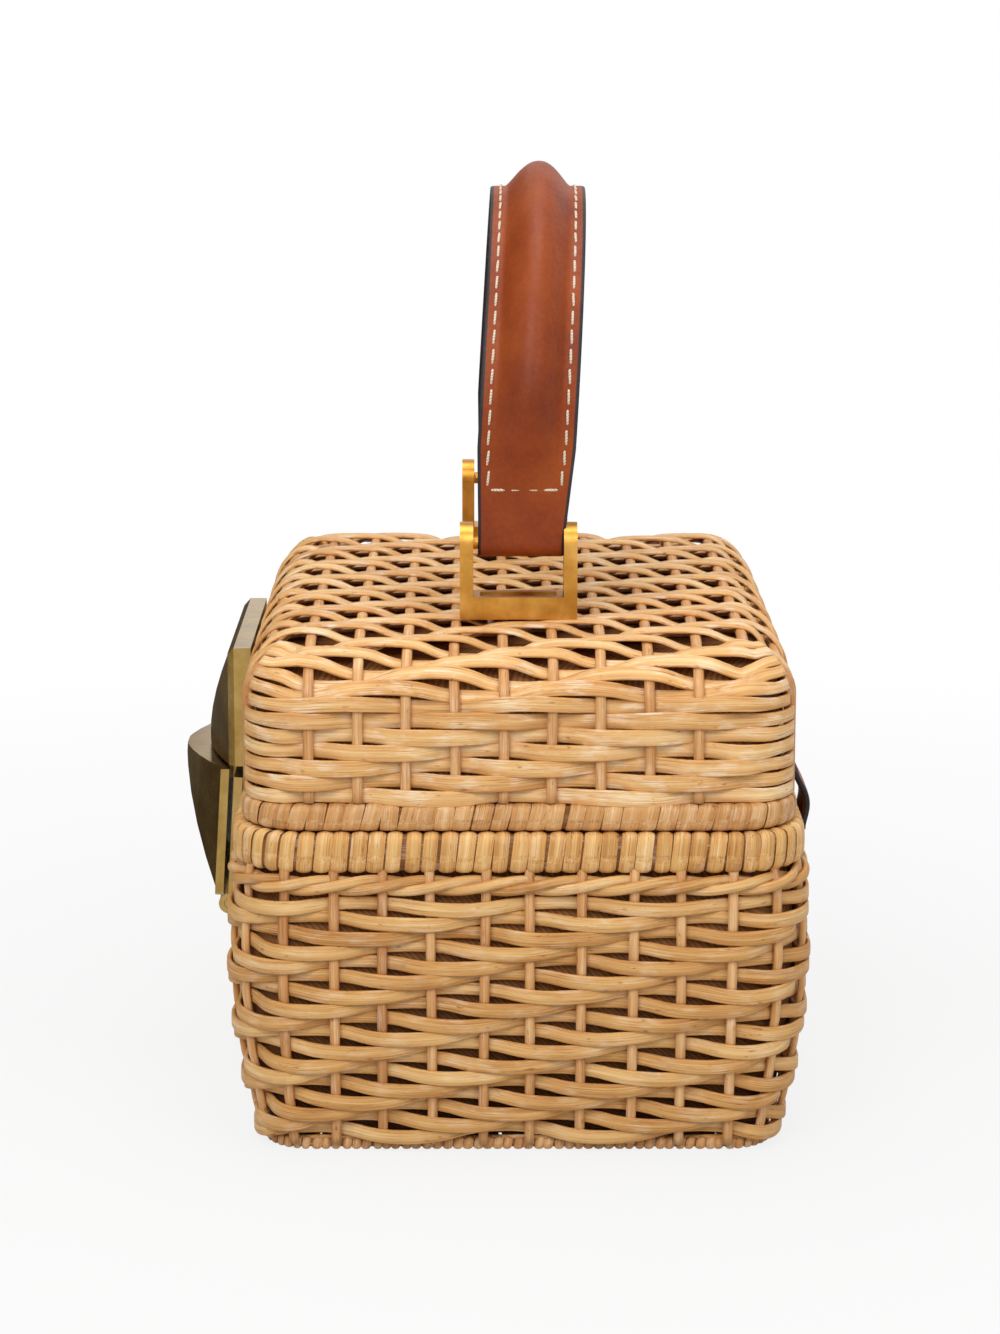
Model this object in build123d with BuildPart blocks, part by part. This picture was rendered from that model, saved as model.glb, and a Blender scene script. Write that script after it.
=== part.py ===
from build123d import *
import math
import os

os.makedirs("parts", exist_ok=True)

# Small wicker box handbag with a hinged lid, a leather top handle and a metal clasp.
# Length runs along X, depth along Y with the clasp at the front (-Y), height along Z.

# Driving sizes, in millimetres.
bag_length = 184.0
bag_depth = 135.0
seam_height = 79.0
lid_tall = 44.0
handle_tall = 105.0
seam_clearance = 0.2
fit_clearance = 0.1
touch_clearance = 0.02

# Basket body: a wall that bellies out, woven from flat strands round upright stakes.
body_corner = 18.0
body_wall = 3.0
base_thick = 3.2
belly_height_share = 0.595
belly_out = 2.0
belly_drop = 7.1
body_row_count = 18
body_ridge = 1.1
body_row_low = 4.0
body_rim_tall = 9.4
body_rim_wide = 5.4
rim_chamfer = 1.6
foot_in = 10.0
stake_pitch = 11.3
gap_wide = 3.0
gap_fill_share = 0.8
twill_count = 4

# Lid: a shallow woven box, a little smaller than the body's mouth.
lid_step = 2.5
lid_corner = 16.0
lid_shoulder = 13.0
lid_wall = 3.0
lid_ridge = 1.0
lid_end_row_count = 7
lid_top_row_pitch = 5.3
lid_rim_tall = 6.2
lid_rim_wide = 4.6
lid_rim_proud = 0.5
ridge_root = 0.6

# Handle: two leather layers bent into an arch, with a padded roll on the outside.
handle_wide = 23.4
handle_end_wide = 20.6
leather = 1.7
pin_half_span = 52.0
pin_radius = 1.5
roll_wide = 14.6
roll_tall = 6.2
roll_skin = 1.3
roll_end_lift = 11.0
roll_end_tall = 0.4

# Handle brackets.
bracket_wide = 28.0
bracket_deep = 10.0
bracket_tall = 22.8
bracket_arm = 3.2
bracket_base = 5.4
bracket_pocket = 2.6
screw_radius = 1.4
screw_head_radius = 2.6
screw_head_tall = 1.2
screw_half_span = 6.5
backing_thick = 1.2

# Clasp.
clasp_wide = 68.0
clasp_corner = 3.0
clasp_edge = 1.6
lid_plate_drop = 11.5
lid_plate_thick = 5.8
split_lift = 2.4
split_gap = 0.7
boss_wide = 64.0
boss_margin = 2.0
boss_level_count = 5
boss_curve_share = 1.6
boss_tip_share = 0.97
lid_boss_rise = 6.8
flap_boss_rise = 10.9
body_plate_thick = 2.2
body_plate_reach = 33.0
plate_shell = 1.8
tongue_thick = 0.7
tongue_reach = 6.0
tongue_wide = 40.0
tongue_clearance = 0.25
flap_thick = 2.1
knuckle_radius = 2.6
latch_pin_radius = 1.2
flap_barrel_wide = 30.0
knuckle_wide = 12.0
magnet_radius = 5.0
magnet_thick = 1.5
rivet_radius = 1.6
rivet_head_radius = 2.8
rivet_head_tall = 1.0
rivet_half_span = 29.0

# Hinge straps.
strap_wide = 18.0
strap_thick = 1.6
strap_half_span = 50.0
strap_half_tall = 7.0
strap_bulge = 2.6

# Values that follow from the sizes above.
basket_height = seam_height + lid_tall
overall_height = basket_height + handle_tall
belly_height = seam_height * belly_height_share
split_height = seam_height + split_lift
lid_plate_top = basket_height - lid_plate_drop
body_plate_low = seam_height - body_plate_reach
body_half_x = bag_length / 2
body_half_y = bag_depth / 2
body_corner_x = body_half_x - body_corner
body_corner_y = body_half_y - body_corner
body_rim_top = seam_height - seam_clearance / 2
body_wall_top = body_rim_top - body_rim_tall
body_row_pitch = (body_wall_top - body_row_low) / body_row_count
lid_half_x = body_half_x - lid_step
lid_half_y = body_half_y - lid_step
lid_rim_low = seam_height + seam_clearance / 2
lid_low = lid_rim_low + lid_rim_tall
lid_skin_x = lid_half_x - lid_ridge
lid_skin_y = lid_half_y - lid_ridge
lid_skin_top = basket_height - lid_ridge
lid_inner_x = lid_skin_x - lid_wall
lid_inner_y = lid_skin_y - lid_wall
lid_inner_top = lid_skin_top - lid_wall


def belly(z):
    # How far the strand crests stand outside the rim line at a height.
    return belly_out - belly_drop * ((z - belly_height) / belly_height) ** 2


def wall_profile_points(radius):
    # Section through the basket wall: base edge, rows of strand ridges, plain inside.
    points = [(radius - foot_in - body_wall, 0), (radius - foot_in, 0)]
    points.append((radius + belly(body_row_low) - body_ridge, body_row_low))
    for row in range(body_row_count):
        low = body_row_low + row * body_row_pitch
        middle = low + body_row_pitch / 2
        high = low + body_row_pitch
        points.append((radius + belly(middle), middle))
        points.append((radius + belly(high) - body_ridge, high))
    inside_steps = 5
    inside_low = base_thick
    for step in range(inside_steps + 1):
        level = body_wall_top + (inside_low - body_wall_top) * step / inside_steps
        points.append((radius + belly(level) - body_ridge - body_wall, level))
    points.append((radius - foot_in - body_wall, base_thick))
    return points


def ring_points(radius, proud, low, tall, wide, chamfer):
    # Section through a wrapped rim: a bar with its edges rounded off by flats.
    outer = radius + proud
    inner = outer - wide
    high = low + tall
    return [
        (inner + chamfer, low),
        (outer - chamfer, low),
        (outer, low + chamfer),
        (outer, high - chamfer),
        (outer - chamfer, high),
        (inner + chamfer, high),
        (inner, high - chamfer),
        (inner, low + chamfer),
    ]


corner_plane = Plane(origin=(body_corner_x, body_corner_y, 0), x_dir=(1, 0, 0), z_dir=(0, -1, 0))
side_plane = Plane(origin=(body_corner_x, body_corner_y, 0), x_dir=(0, 1, 0), z_dir=(1, 0, 0))
corner_axis = Axis((body_corner_x, body_corner_y, 0), (0, 0, 1))

# Places of the clasp rivets and of the gaps beside the stakes.
body_rivet_height = body_plate_low + (body_wall_top - body_plate_low) / 2
lid_rivet_height = (split_height + lid_plate_top) / 2
bracket_places = [pin_half_span, -pin_half_span]
screw_places = [(side, across) for side in bracket_places for across in (-screw_half_span, screw_half_span)]


def gap_rows(half_run, keep_out, keep_out_low):
    # Twill order: over two stakes and under two, each row one stake further on than the row below.
    places = []
    stakes = int(half_run / stake_pitch)
    for row in range(1, body_row_count - 1):
        height = body_row_low + (row + 0.5) * body_row_pitch
        for stake in range(-stakes, stakes + 1):
            along = stake * stake_pitch
            hidden = abs(along) < keep_out and height > keep_out_low
            if (stake - row) % twill_count == 0 and not hidden:
                places.append((along, height))
    return places


gap_tall = body_row_pitch * gap_fill_share
gap_corners = [(-gap_wide / 2, -gap_tall / 2), (gap_wide / 2, -gap_tall / 2), (0, gap_tall / 2)]
base_lap = body_corner - foot_in - body_wall / 2

with BuildPart() as body_basket:
    with BuildSketch(corner_plane) as corner_section:
        with BuildLine():
            Polyline(*wall_profile_points(body_corner), close=True)
        make_face()
    revolve(axis=corner_axis, revolution_arc=90)
    extrude(corner_section.sketch, amount=body_corner_y)
    with BuildSketch(side_plane) as side_section:
        with BuildLine():
            Polyline(*wall_profile_points(body_corner), close=True)
        make_face()
    extrude(amount=-body_corner_x)
    mirror(about=Plane.XZ)
    mirror(about=Plane.YZ)
    with BuildSketch(Plane.XY):
        Rectangle(2 * (body_corner_x + base_lap), 2 * (body_corner_y + base_lap))
    extrude(amount=base_thick)
    with BuildSketch(Plane.YZ):
        with Locations(*gap_rows(body_corner_y, 0, basket_height)):
            Polygon(*gap_corners, align=None)
    extrude(amount=bag_length, both=True, mode=Mode.SUBTRACT)
    with BuildSketch(Plane.XZ):
        with Locations(*gap_rows(body_corner_x, 0, basket_height)):
            Polygon(*gap_corners, align=None)
    extrude(amount=-bag_depth, mode=Mode.SUBTRACT)
    with BuildSketch(Plane.XZ):
        clasp_keep_out = clasp_wide / 2 + gap_wide
        with Locations(*gap_rows(body_corner_x, clasp_keep_out, body_plate_low - body_row_pitch)):
            Polygon(*gap_corners, align=None)
        with Locations((-rivet_half_span, body_rivet_height), (rivet_half_span, body_rivet_height)):
            Circle(rivet_radius + fit_clearance)
    extrude(amount=bag_depth, mode=Mode.SUBTRACT)
body_basket.part.label = "body basket"
export_step(body_basket.part, "parts/body_basket.step")

body_rim_section = ring_points(body_corner, 0, body_wall_top, body_rim_tall, body_rim_wide, rim_chamfer)

with BuildPart() as body_rim:
    with BuildSketch(corner_plane) as rim_corner:
        with BuildLine():
            Polyline(*body_rim_section, close=True)
        make_face()
    revolve(axis=corner_axis, revolution_arc=90)
    extrude(rim_corner.sketch, amount=body_corner_y)
    with BuildSketch(side_plane):
        with BuildLine():
            Polyline(*body_rim_section, close=True)
        make_face()
    extrude(amount=-body_corner_x)
    mirror(about=Plane.XZ)
    mirror(about=Plane.YZ)
body_rim.part.label = "body rim"
export_step(body_rim.part, "parts/body_rim.step")

# Lid shell: a rounded box, hollowed from below, with ridges laid over it as the strands run.
lid_flat_y = lid_skin_y - lid_shoulder
lid_wall_high = lid_skin_top - lid_shoulder
lid_row_run = lid_half_x - lid_corner
lid_row_count = int(2 * lid_row_run / lid_top_row_pitch)
lid_row_pitch = 2 * lid_row_run / lid_row_count
lid_end_run = lid_half_y - lid_corner
lid_end_pitch = (lid_wall_high - lid_low) / lid_end_row_count
lid_strand_plane = Plane(origin=(0, lid_flat_y, 0), x_dir=(1, 0, 0), z_dir=(0, -1, 0))


def ridge_points(start, pitch, count, skin, crest):
    # Saw-tooth section of a run of strands, rooted a little under the skin.
    points = [(start, skin - ridge_root), (start, skin)]
    for row in range(count):
        points.append((start + (row + 0.5) * pitch, crest))
        points.append((start + (row + 1) * pitch, skin))
    points.append((start + count * pitch, skin - ridge_root))
    return points


with BuildPart() as lid_hollow:
    with BuildSketch(Plane.XY.offset(lid_low)):
        RectangleRounded(2 * lid_inner_x, 2 * lid_inner_y, lid_corner - lid_ridge - lid_wall)
    extrude(amount=lid_inner_top - lid_low)
    fillet(lid_hollow.faces().sort_by(Axis.Z)[-1].edges(), radius=lid_shoulder - lid_wall)

with BuildPart() as lid_strands:
    with BuildSketch(lid_strand_plane) as top_saw:
        with BuildLine():
            saw_points = ridge_points(-lid_row_run, lid_row_pitch, lid_row_count, lid_skin_top, basket_height)
            Polyline(*saw_points, close=True)
        make_face()
    extrude(top_saw.sketch, amount=lid_flat_y)
    revolve(top_saw.sketch, axis=Axis((0, lid_flat_y, lid_wall_high), (-1, 0, 0)), revolution_arc=90)
    with BuildSketch(Plane.XY.offset(lid_low)):
        with BuildLine():
            saw_points = ridge_points(-lid_row_run, lid_row_pitch, lid_row_count, lid_skin_y, lid_half_y)
            Polyline(*saw_points, close=True)
        make_face()
    extrude(amount=lid_wall_high - lid_low)
    mirror(about=Plane.XZ)

with BuildPart() as lid_end_strands:
    with BuildSketch(Plane.YZ.offset(lid_skin_x - ridge_root)):
        with Locations((0, (lid_low + lid_wall_high) / 2)):
            Rectangle(2 * lid_end_run, lid_wall_high - lid_low)
    extrude(amount=ridge_root)
    for row in range(lid_end_row_count):
        row_low = lid_low + row * lid_end_pitch
        with BuildSketch(Plane(origin=(0, lid_end_run, 0), x_dir=(1, 0, 0), z_dir=(0, -1, 0))):
            with BuildLine():
                Polyline(
                    (lid_skin_x, row_low),
                    (lid_half_x, row_low + lid_end_pitch / 2),
                    (lid_skin_x, row_low + lid_end_pitch),
                    close=True,
                )
            make_face()
        extrude(amount=2 * lid_end_run)
    mirror(about=Plane.YZ)


def lid_gap_places():
    # Twill order on the lid's top, left solid under the handle brackets.
    places = []
    stakes = int(lid_flat_y / stake_pitch)
    for row in range(1, lid_row_count - 1):
        across_x = -lid_row_run + (row + 0.5) * lid_row_pitch
        near_bracket = abs(abs(across_x) - pin_half_span) < bracket_deep
        for stake in range(-stakes, stakes + 1):
            across_y = stake * stake_pitch
            hidden = near_bracket and abs(across_y) < bracket_wide
            if (stake + row) % twill_count == 0 and not hidden:
                places.append((across_x, across_y))
    return places


lid_gap_long = lid_row_pitch * gap_fill_share
lid_gap_half = lid_gap_long / 2
lid_gap_corners = [(-lid_gap_half, -gap_wide / 2), (-lid_gap_half, gap_wide / 2), (lid_gap_half, 0)]

with BuildPart() as lid_basket:
    with BuildSketch(Plane.XY.offset(lid_low)):
        RectangleRounded(2 * lid_skin_x, 2 * lid_skin_y, lid_corner - lid_ridge)
    extrude(amount=lid_skin_top - lid_low)
    fillet(lid_basket.faces().sort_by(Axis.Z)[-1].edges(), radius=lid_shoulder)
    add(lid_strands.part)
    add(lid_end_strands.part)
    add(lid_hollow.part, mode=Mode.SUBTRACT)
    with BuildSketch(Plane.XY.offset(lid_wall_high)):
        with Locations(*lid_gap_places()):
            Polygon(*lid_gap_corners, align=None)
        with Locations(*screw_places):
            Circle(screw_radius + fit_clearance)
    extrude(amount=basket_height, mode=Mode.SUBTRACT)
    with BuildSketch(Plane.XZ):
        with Locations((-rivet_half_span, lid_rivet_height), (rivet_half_span, lid_rivet_height)):
            Circle(rivet_radius + fit_clearance)
    extrude(amount=bag_depth, mode=Mode.SUBTRACT)
lid_basket.part.label = "lid basket"
export_step(lid_basket.part, "parts/lid_basket.step")

lid_corner_x = lid_half_x - lid_corner
lid_corner_y = lid_half_y - lid_corner
lid_corner_plane = Plane(origin=(lid_corner_x, lid_corner_y, 0), x_dir=(1, 0, 0), z_dir=(0, -1, 0))
lid_side_plane = Plane(origin=(lid_corner_x, lid_corner_y, 0), x_dir=(0, 1, 0), z_dir=(1, 0, 0))
lid_rim_section = ring_points(lid_corner, lid_rim_proud, lid_rim_low, lid_rim_tall, lid_rim_wide, rim_chamfer)

with BuildPart() as lid_rim:
    with BuildSketch(lid_corner_plane) as lid_rim_corner:
        with BuildLine():
            Polyline(*lid_rim_section, close=True)
        make_face()
    revolve(axis=Axis((lid_corner_x, lid_corner_y, 0), (0, 0, 1)), revolution_arc=90)
    extrude(lid_rim_corner.sketch, amount=lid_corner_y)
    with BuildSketch(lid_side_plane):
        with BuildLine():
            Polyline(*lid_rim_section, close=True)
        make_face()
    extrude(amount=-lid_corner_x)
    mirror(about=Plane.XZ)
    mirror(about=Plane.YZ)
lid_rim.part.label = "lid rim"
export_step(lid_rim.part, "parts/lid_rim.step")

# Handle brackets: U shapes with rounded ears, a pocket in the base for the screw heads.
ear_radius = bracket_deep / 2
pin_height = basket_height + bracket_tall - ear_radius
bracket_inside = bracket_wide - 2 * bracket_arm
pocket_wide = 2 * (screw_half_span + screw_head_radius) + fit_clearance
pocket_deep = 2 * (screw_head_radius + fit_clearance)
screw_seat = basket_height + bracket_base - bracket_pocket
backing_top = lid_inner_top - touch_clearance

for side, place in ((1, "near"), (-1, "far")):
    bracket_x = side * pin_half_span
    bracket_plane = Plane(origin=(bracket_x, bracket_wide / 2, 0), x_dir=(1, 0, 0), z_dir=(0, -1, 0))
    with BuildPart() as bracket:
        with BuildSketch(Plane(origin=(bracket_x, 0, basket_height))):
            Rectangle(bracket_deep, bracket_wide)
        extrude(amount=bracket_base)
        with BuildSketch(bracket_plane):
            with Locations((0, (basket_height + pin_height) / 2)):
                Rectangle(bracket_deep, pin_height - basket_height)
            with Locations((0, pin_height)):
                Circle(ear_radius)
        extrude(amount=bracket_arm)
        with BuildSketch(bracket_plane.offset(bracket_wide - bracket_arm)):
            with Locations((0, (basket_height + pin_height) / 2)):
                Rectangle(bracket_deep, pin_height - basket_height)
            with Locations((0, pin_height)):
                Circle(ear_radius)
        extrude(amount=bracket_arm)
        with BuildSketch(Plane(origin=(bracket_x, 0, screw_seat))):
            Rectangle(pocket_deep, pocket_wide)
        extrude(amount=bracket_pocket, mode=Mode.SUBTRACT)
        with BuildSketch(Plane(origin=(bracket_x, 0, basket_height))):
            with Locations((0, -screw_half_span), (0, screw_half_span)):
                Circle(screw_radius + fit_clearance)
        extrude(amount=bracket_base, mode=Mode.SUBTRACT)
        with BuildSketch(bracket_plane.offset(-bracket_wide / 2)):
            with Locations((0, pin_height)):
                Circle(pin_radius + fit_clearance)
        extrude(amount=2 * bracket_wide, mode=Mode.SUBTRACT)
    bracket.part.label = "handle bracket " + place
    export_step(bracket.part, "parts/handle_bracket_" + place + ".step")

    with BuildPart() as handle_pin:
        with BuildSketch(bracket_plane):
            with Locations((0, pin_height)):
                Circle(pin_radius)
        extrude(amount=bracket_wide)
    handle_pin.part.label = "handle pin " + place
    export_step(handle_pin.part, "parts/handle_pin_" + place + ".step")

    with BuildPart() as bracket_backing:
        with BuildSketch(Plane(origin=(bracket_x, 0, backing_top))):
            RectangleRounded(bracket_deep + 2 * backing_thick, bracket_wide, clasp_corner)
            with Locations((0, -screw_half_span), (0, screw_half_span)):
                Circle(screw_radius + fit_clearance, mode=Mode.SUBTRACT)
        extrude(amount=-backing_thick)
    bracket_backing.part.label = "bracket backing " + place
    export_step(bracket_backing.part, "parts/bracket_backing_" + place + ".step")

with BuildPart() as bracket_screws:
    with BuildSketch(Plane.XY.offset(screw_seat + touch_clearance)):
        with Locations(*screw_places):
            Circle(screw_head_radius)
    extrude(amount=screw_head_tall)
    with BuildSketch(Plane.XY.offset(screw_seat + touch_clearance)):
        with Locations(*screw_places):
            Circle(screw_radius)
    extrude(amount=-(screw_seat - lid_inner_top + 2 * backing_thick))
bracket_screws.part.label = "bracket screws"
export_step(bracket_screws.part, "parts/bracket_screws.step")

# Handle: the cover loops round each pin, the lining lies under it, the core fills the roll.
loop_in = pin_radius + fit_clearance
loop_out = loop_in + leather
arch_out = pin_half_span + loop_out
arch_mid = arch_out - leather
arch_in = arch_mid - leather
arch_height = overall_height - roll_tall - arch_out
roll_end = pin_height + roll_end_lift
leg_half = (arch_height - pin_height) / 2
arch_axis = Axis((0, 0, arch_height), (0, -1, 0))
taper_high = pin_height + bracket_tall
taper_low = pin_height + pin_radius
core_tall = roll_tall + leather - roll_skin
core_half = roll_wide / 2 - roll_skin
core_end = roll_end + leather

with BuildPart() as handle_core:
    with BuildSketch(Plane.XY.offset(arch_height)) as core_full:
        with Locations((arch_mid, 0)):
            Ellipse(core_tall, core_half)
        with Locations((arch_mid - roll_wide, 0)):
            Rectangle(2 * roll_wide, 2 * roll_wide, mode=Mode.SUBTRACT)
    revolve(axis=arch_axis, revolution_arc=180)
    with BuildSketch(Plane.XY.offset(arch_height)):
        with Locations((arch_mid, 0)):
            Ellipse(core_tall, core_half)
        with Locations((arch_mid - roll_wide, 0)):
            Rectangle(2 * roll_wide, 2 * roll_wide, mode=Mode.SUBTRACT)
    with BuildSketch(Plane.XY.offset(core_end)):
        with Locations((arch_mid, 0)):
            Ellipse(leather, core_half)
        with Locations((arch_mid - roll_wide, 0)):
            Rectangle(2 * roll_wide, 2 * roll_wide, mode=Mode.SUBTRACT)
    loft(ruled=True)
    mirror(about=Plane.YZ)
handle_core.part.label = "handle core"
export_step(handle_core.part, "parts/handle_core.step")

with BuildPart() as handle_cover:
    with BuildSketch(Plane.XZ):
        with Locations((0, arch_height)):
            Circle(arch_out)
            Circle(arch_mid, mode=Mode.SUBTRACT)
        with Locations((0, arch_height - arch_out)):
            Rectangle(3 * arch_out, 2 * arch_out, mode=Mode.SUBTRACT)
        with Locations((pin_half_span, pin_height), (-pin_half_span, pin_height)):
            Circle(loop_out)
        leg_x = arch_mid + leather / 2
        with Locations((leg_x, pin_height + leg_half), (-leg_x, pin_height + leg_half)):
            Rectangle(leather, 2 * leg_half)
        with Locations((pin_half_span, pin_height), (-pin_half_span, pin_height)):
            Circle(loop_in, mode=Mode.SUBTRACT)
    extrude(amount=handle_wide / 2, both=True)
    with BuildSketch(Plane.XY.offset(arch_height)):
        with Locations((arch_out, 0)):
            Ellipse(roll_tall, roll_wide / 2)
        with Locations((arch_mid - roll_wide + leather / 2, 0)):
            Rectangle(2 * roll_wide, 2 * roll_wide, mode=Mode.SUBTRACT)
    revolve(axis=arch_axis, revolution_arc=180)
    with BuildSketch(Plane.XY.offset(arch_height)):
        with Locations((arch_out, 0)):
            Ellipse(roll_tall, roll_wide / 2)
        with Locations((arch_mid - roll_wide + leather / 2, 0)):
            Rectangle(2 * roll_wide, 2 * roll_wide, mode=Mode.SUBTRACT)
    with BuildSketch(Plane.XY.offset(roll_end)):
        with Locations((arch_out, 0)):
            Ellipse(roll_end_tall, roll_wide / 2)
        with Locations((arch_mid - roll_wide + leather / 2, 0)):
            Rectangle(2 * roll_wide, 2 * roll_wide, mode=Mode.SUBTRACT)
    loft(ruled=True)
    mirror(about=Plane.YZ)
    add(handle_core.part, mode=Mode.SUBTRACT)
    with BuildSketch(Plane.YZ):
        for side in (1, -1):
            with BuildLine():
                Polyline(
                    (side * handle_end_wide / 2, pin_height - bracket_wide),
                    (side * handle_wide, pin_height - bracket_wide),
                    (side * handle_wide, taper_high),
                    (side * handle_wide / 2, taper_high),
                    (side * handle_end_wide / 2, taper_low),
                    close=True,
                )
            make_face()
    extrude(amount=bag_length, both=True, mode=Mode.SUBTRACT)
handle_cover.part.label = "handle cover"
export_step(handle_cover.part, "parts/handle_cover.step")

lining_low = pin_height + loop_out + touch_clearance

with BuildPart() as handle_lining:
    with BuildSketch(Plane.XZ):
        with Locations((0, arch_height)):
            Circle(arch_mid)
            Circle(arch_in, mode=Mode.SUBTRACT)
        with Locations((0, arch_height - arch_out)):
            Rectangle(3 * arch_out, 2 * arch_out, mode=Mode.SUBTRACT)
        lining_x = arch_in + leather / 2
        lining_mid = (lining_low + arch_height) / 2
        with Locations((lining_x, lining_mid), (-lining_x, lining_mid)):
            Rectangle(leather, arch_height - lining_low)
    extrude(amount=handle_wide / 2, both=True)
    with BuildSketch(Plane.YZ):
        for side in (1, -1):
            with BuildLine():
                Polyline(
                    (side * handle_end_wide / 2, pin_height - bracket_wide),
                    (side * handle_wide, pin_height - bracket_wide),
                    (side * handle_wide, taper_high),
                    (side * handle_wide / 2, taper_high),
                    (side * handle_end_wide / 2, taper_low),
                    close=True,
                )
            make_face()
    extrude(amount=bag_length, both=True, mode=Mode.SUBTRACT)
handle_lining.part.label = "handle lining"
export_step(handle_lining.part, "parts/handle_lining.step")

# Clasp: a plate with half a boss on the lid, and below the seam a hinged flap with the other half.
plate_slope_share = 0.061
plate_tilt = math.atan(plate_slope_share)
contact_height = belly_height + plate_slope_share * belly_height**2 / (2 * belly_drop)
contact_out = body_half_y + belly(contact_height) + touch_clearance
clasp_normal = (0, -math.cos(plate_tilt), math.sin(plate_tilt))
clasp_plane = Plane(origin=(0, -contact_out, contact_height), x_dir=(1, 0, 0), z_dir=clasp_normal)
barrel_plane = Plane(clasp_plane.origin, x_dir=clasp_plane.y_dir, z_dir=(1, 0, 0))
lid_plate_back = lid_half_y + lid_rim_proud + touch_clearance
lid_plate_front = lid_plate_back + lid_plate_thick
lid_plate_low = split_height + split_gap / 2
lid_plate_mid = (lid_plate_low + lid_plate_top) / 2
lid_plate_tall = lid_plate_top - lid_plate_low
lid_boss_tall = lid_plate_tall - boss_margin
tongue_gap = tongue_thick + 2 * tongue_clearance
flap_back = body_plate_thick + tongue_gap
flap_front = flap_back + flap_thick
plate_low = (body_plate_low - contact_height) / math.cos(plate_tilt)
plate_high = (body_rim_top - contact_height) / math.cos(plate_tilt)
flap_high = (split_height - split_gap / 2 - contact_height) / math.cos(plate_tilt)
tongue_low = (split_height - tongue_reach - contact_height) / math.cos(plate_tilt)
tongue_high = (lid_plate_mid - contact_height) / math.cos(plate_tilt)
hinge_low = plate_low - knuckle_radius / 2
flap_low = plate_low + knuckle_radius - latch_pin_radius / 2
flap_boss_tall = flap_high - flap_low - boss_margin
plate_pocket_wide = 2 * (rivet_half_span - rivet_head_radius - plate_shell)
boss_turn = math.pi / 2 / boss_level_count
boss_steps = [boss_tip_share * math.sin(boss_turn * level) for level in range(boss_level_count + 1)]
boss_levels = [(step, (1 - step) ** (1 / boss_curve_share)) for step in boss_steps]


def front_plane(out):
    # Upright plane facing the front, at a distance in front of the middle.
    return Plane(origin=(0, -out, 0), x_dir=(1, 0, 0), z_dir=(0, -1, 0))


with BuildPart() as lid_clasp_plate:
    with BuildSketch(front_plane(lid_plate_back)):
        with Locations((0, lid_plate_mid)):
            Rectangle(clasp_wide, lid_plate_tall)
    extrude(amount=lid_plate_thick)
    front_edges = lid_clasp_plate.faces().sort_by(Axis.Y)[0].edges()
    chamfer(front_edges.sort_by(Axis.Z)[1:], length=clasp_edge)
    for rise_share, size_share in boss_levels:
        with BuildSketch(front_plane(lid_plate_front + lid_boss_rise * rise_share - touch_clearance)):
            with Locations((0, lid_plate_low + lid_boss_tall * size_share / 2)):
                Rectangle(boss_wide * size_share, lid_boss_tall * size_share)
    loft(ruled=True)
    with BuildSketch(front_plane(lid_plate_back)):
        with Locations((0, lid_plate_mid)):
            Rectangle(plate_pocket_wide, lid_plate_tall - 2 * plate_shell)
    extrude(amount=lid_plate_thick - plate_shell, mode=Mode.SUBTRACT)
    with BuildSketch(clasp_plane.offset(body_plate_thick + tongue_clearance)):
        with Locations((0, (tongue_low + tongue_high) / 2)):
            Rectangle(tongue_wide, tongue_high - tongue_low)
    extrude(amount=tongue_thick)
lid_clasp_plate.part.label = "lid clasp plate"
export_step(lid_clasp_plate.part, "parts/lid_clasp_plate.step")

with BuildPart() as body_clasp_plate:
    with BuildSketch(clasp_plane):
        with Locations((0, (plate_low + plate_high) / 2)):
            Rectangle(clasp_wide, plate_high - plate_low)
    extrude(amount=body_plate_thick)
    for side in (1, -1):
        knuckle_start = side * (flap_barrel_wide / 2 + fit_clearance)
        with BuildSketch(barrel_plane.offset(knuckle_start)):
            with Locations((hinge_low, body_plate_thick)):
                Circle(knuckle_radius)
        extrude(amount=side * knuckle_wide)
    with BuildSketch(barrel_plane):
        with Locations((hinge_low, body_plate_thick)):
            Circle(knuckle_radius + fit_clearance)
    extrude(amount=flap_barrel_wide / 2 + fit_clearance, both=True, mode=Mode.SUBTRACT)
    with BuildSketch(barrel_plane):
        with Locations((hinge_low, body_plate_thick)):
            Circle(latch_pin_radius + fit_clearance)
    extrude(amount=clasp_wide, both=True, mode=Mode.SUBTRACT)
    with BuildSketch(clasp_plane.offset(body_plate_thick)):
        with Locations((0, plate_high - magnet_radius - clasp_corner)):
            Circle(magnet_radius + touch_clearance)
    extrude(amount=-magnet_thick - touch_clearance, mode=Mode.SUBTRACT)
body_clasp_plate.part.label = "body clasp plate"
export_step(body_clasp_plate.part, "parts/body_clasp_plate.step")

with BuildPart() as clasp_magnet:
    with BuildSketch(clasp_plane.offset(body_plate_thick)):
        with Locations((0, plate_high - magnet_radius - clasp_corner)):
            Circle(magnet_radius)
    extrude(amount=-magnet_thick)
clasp_magnet.part.label = "clasp magnet"
export_step(clasp_magnet.part, "parts/clasp_magnet.step")

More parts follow.
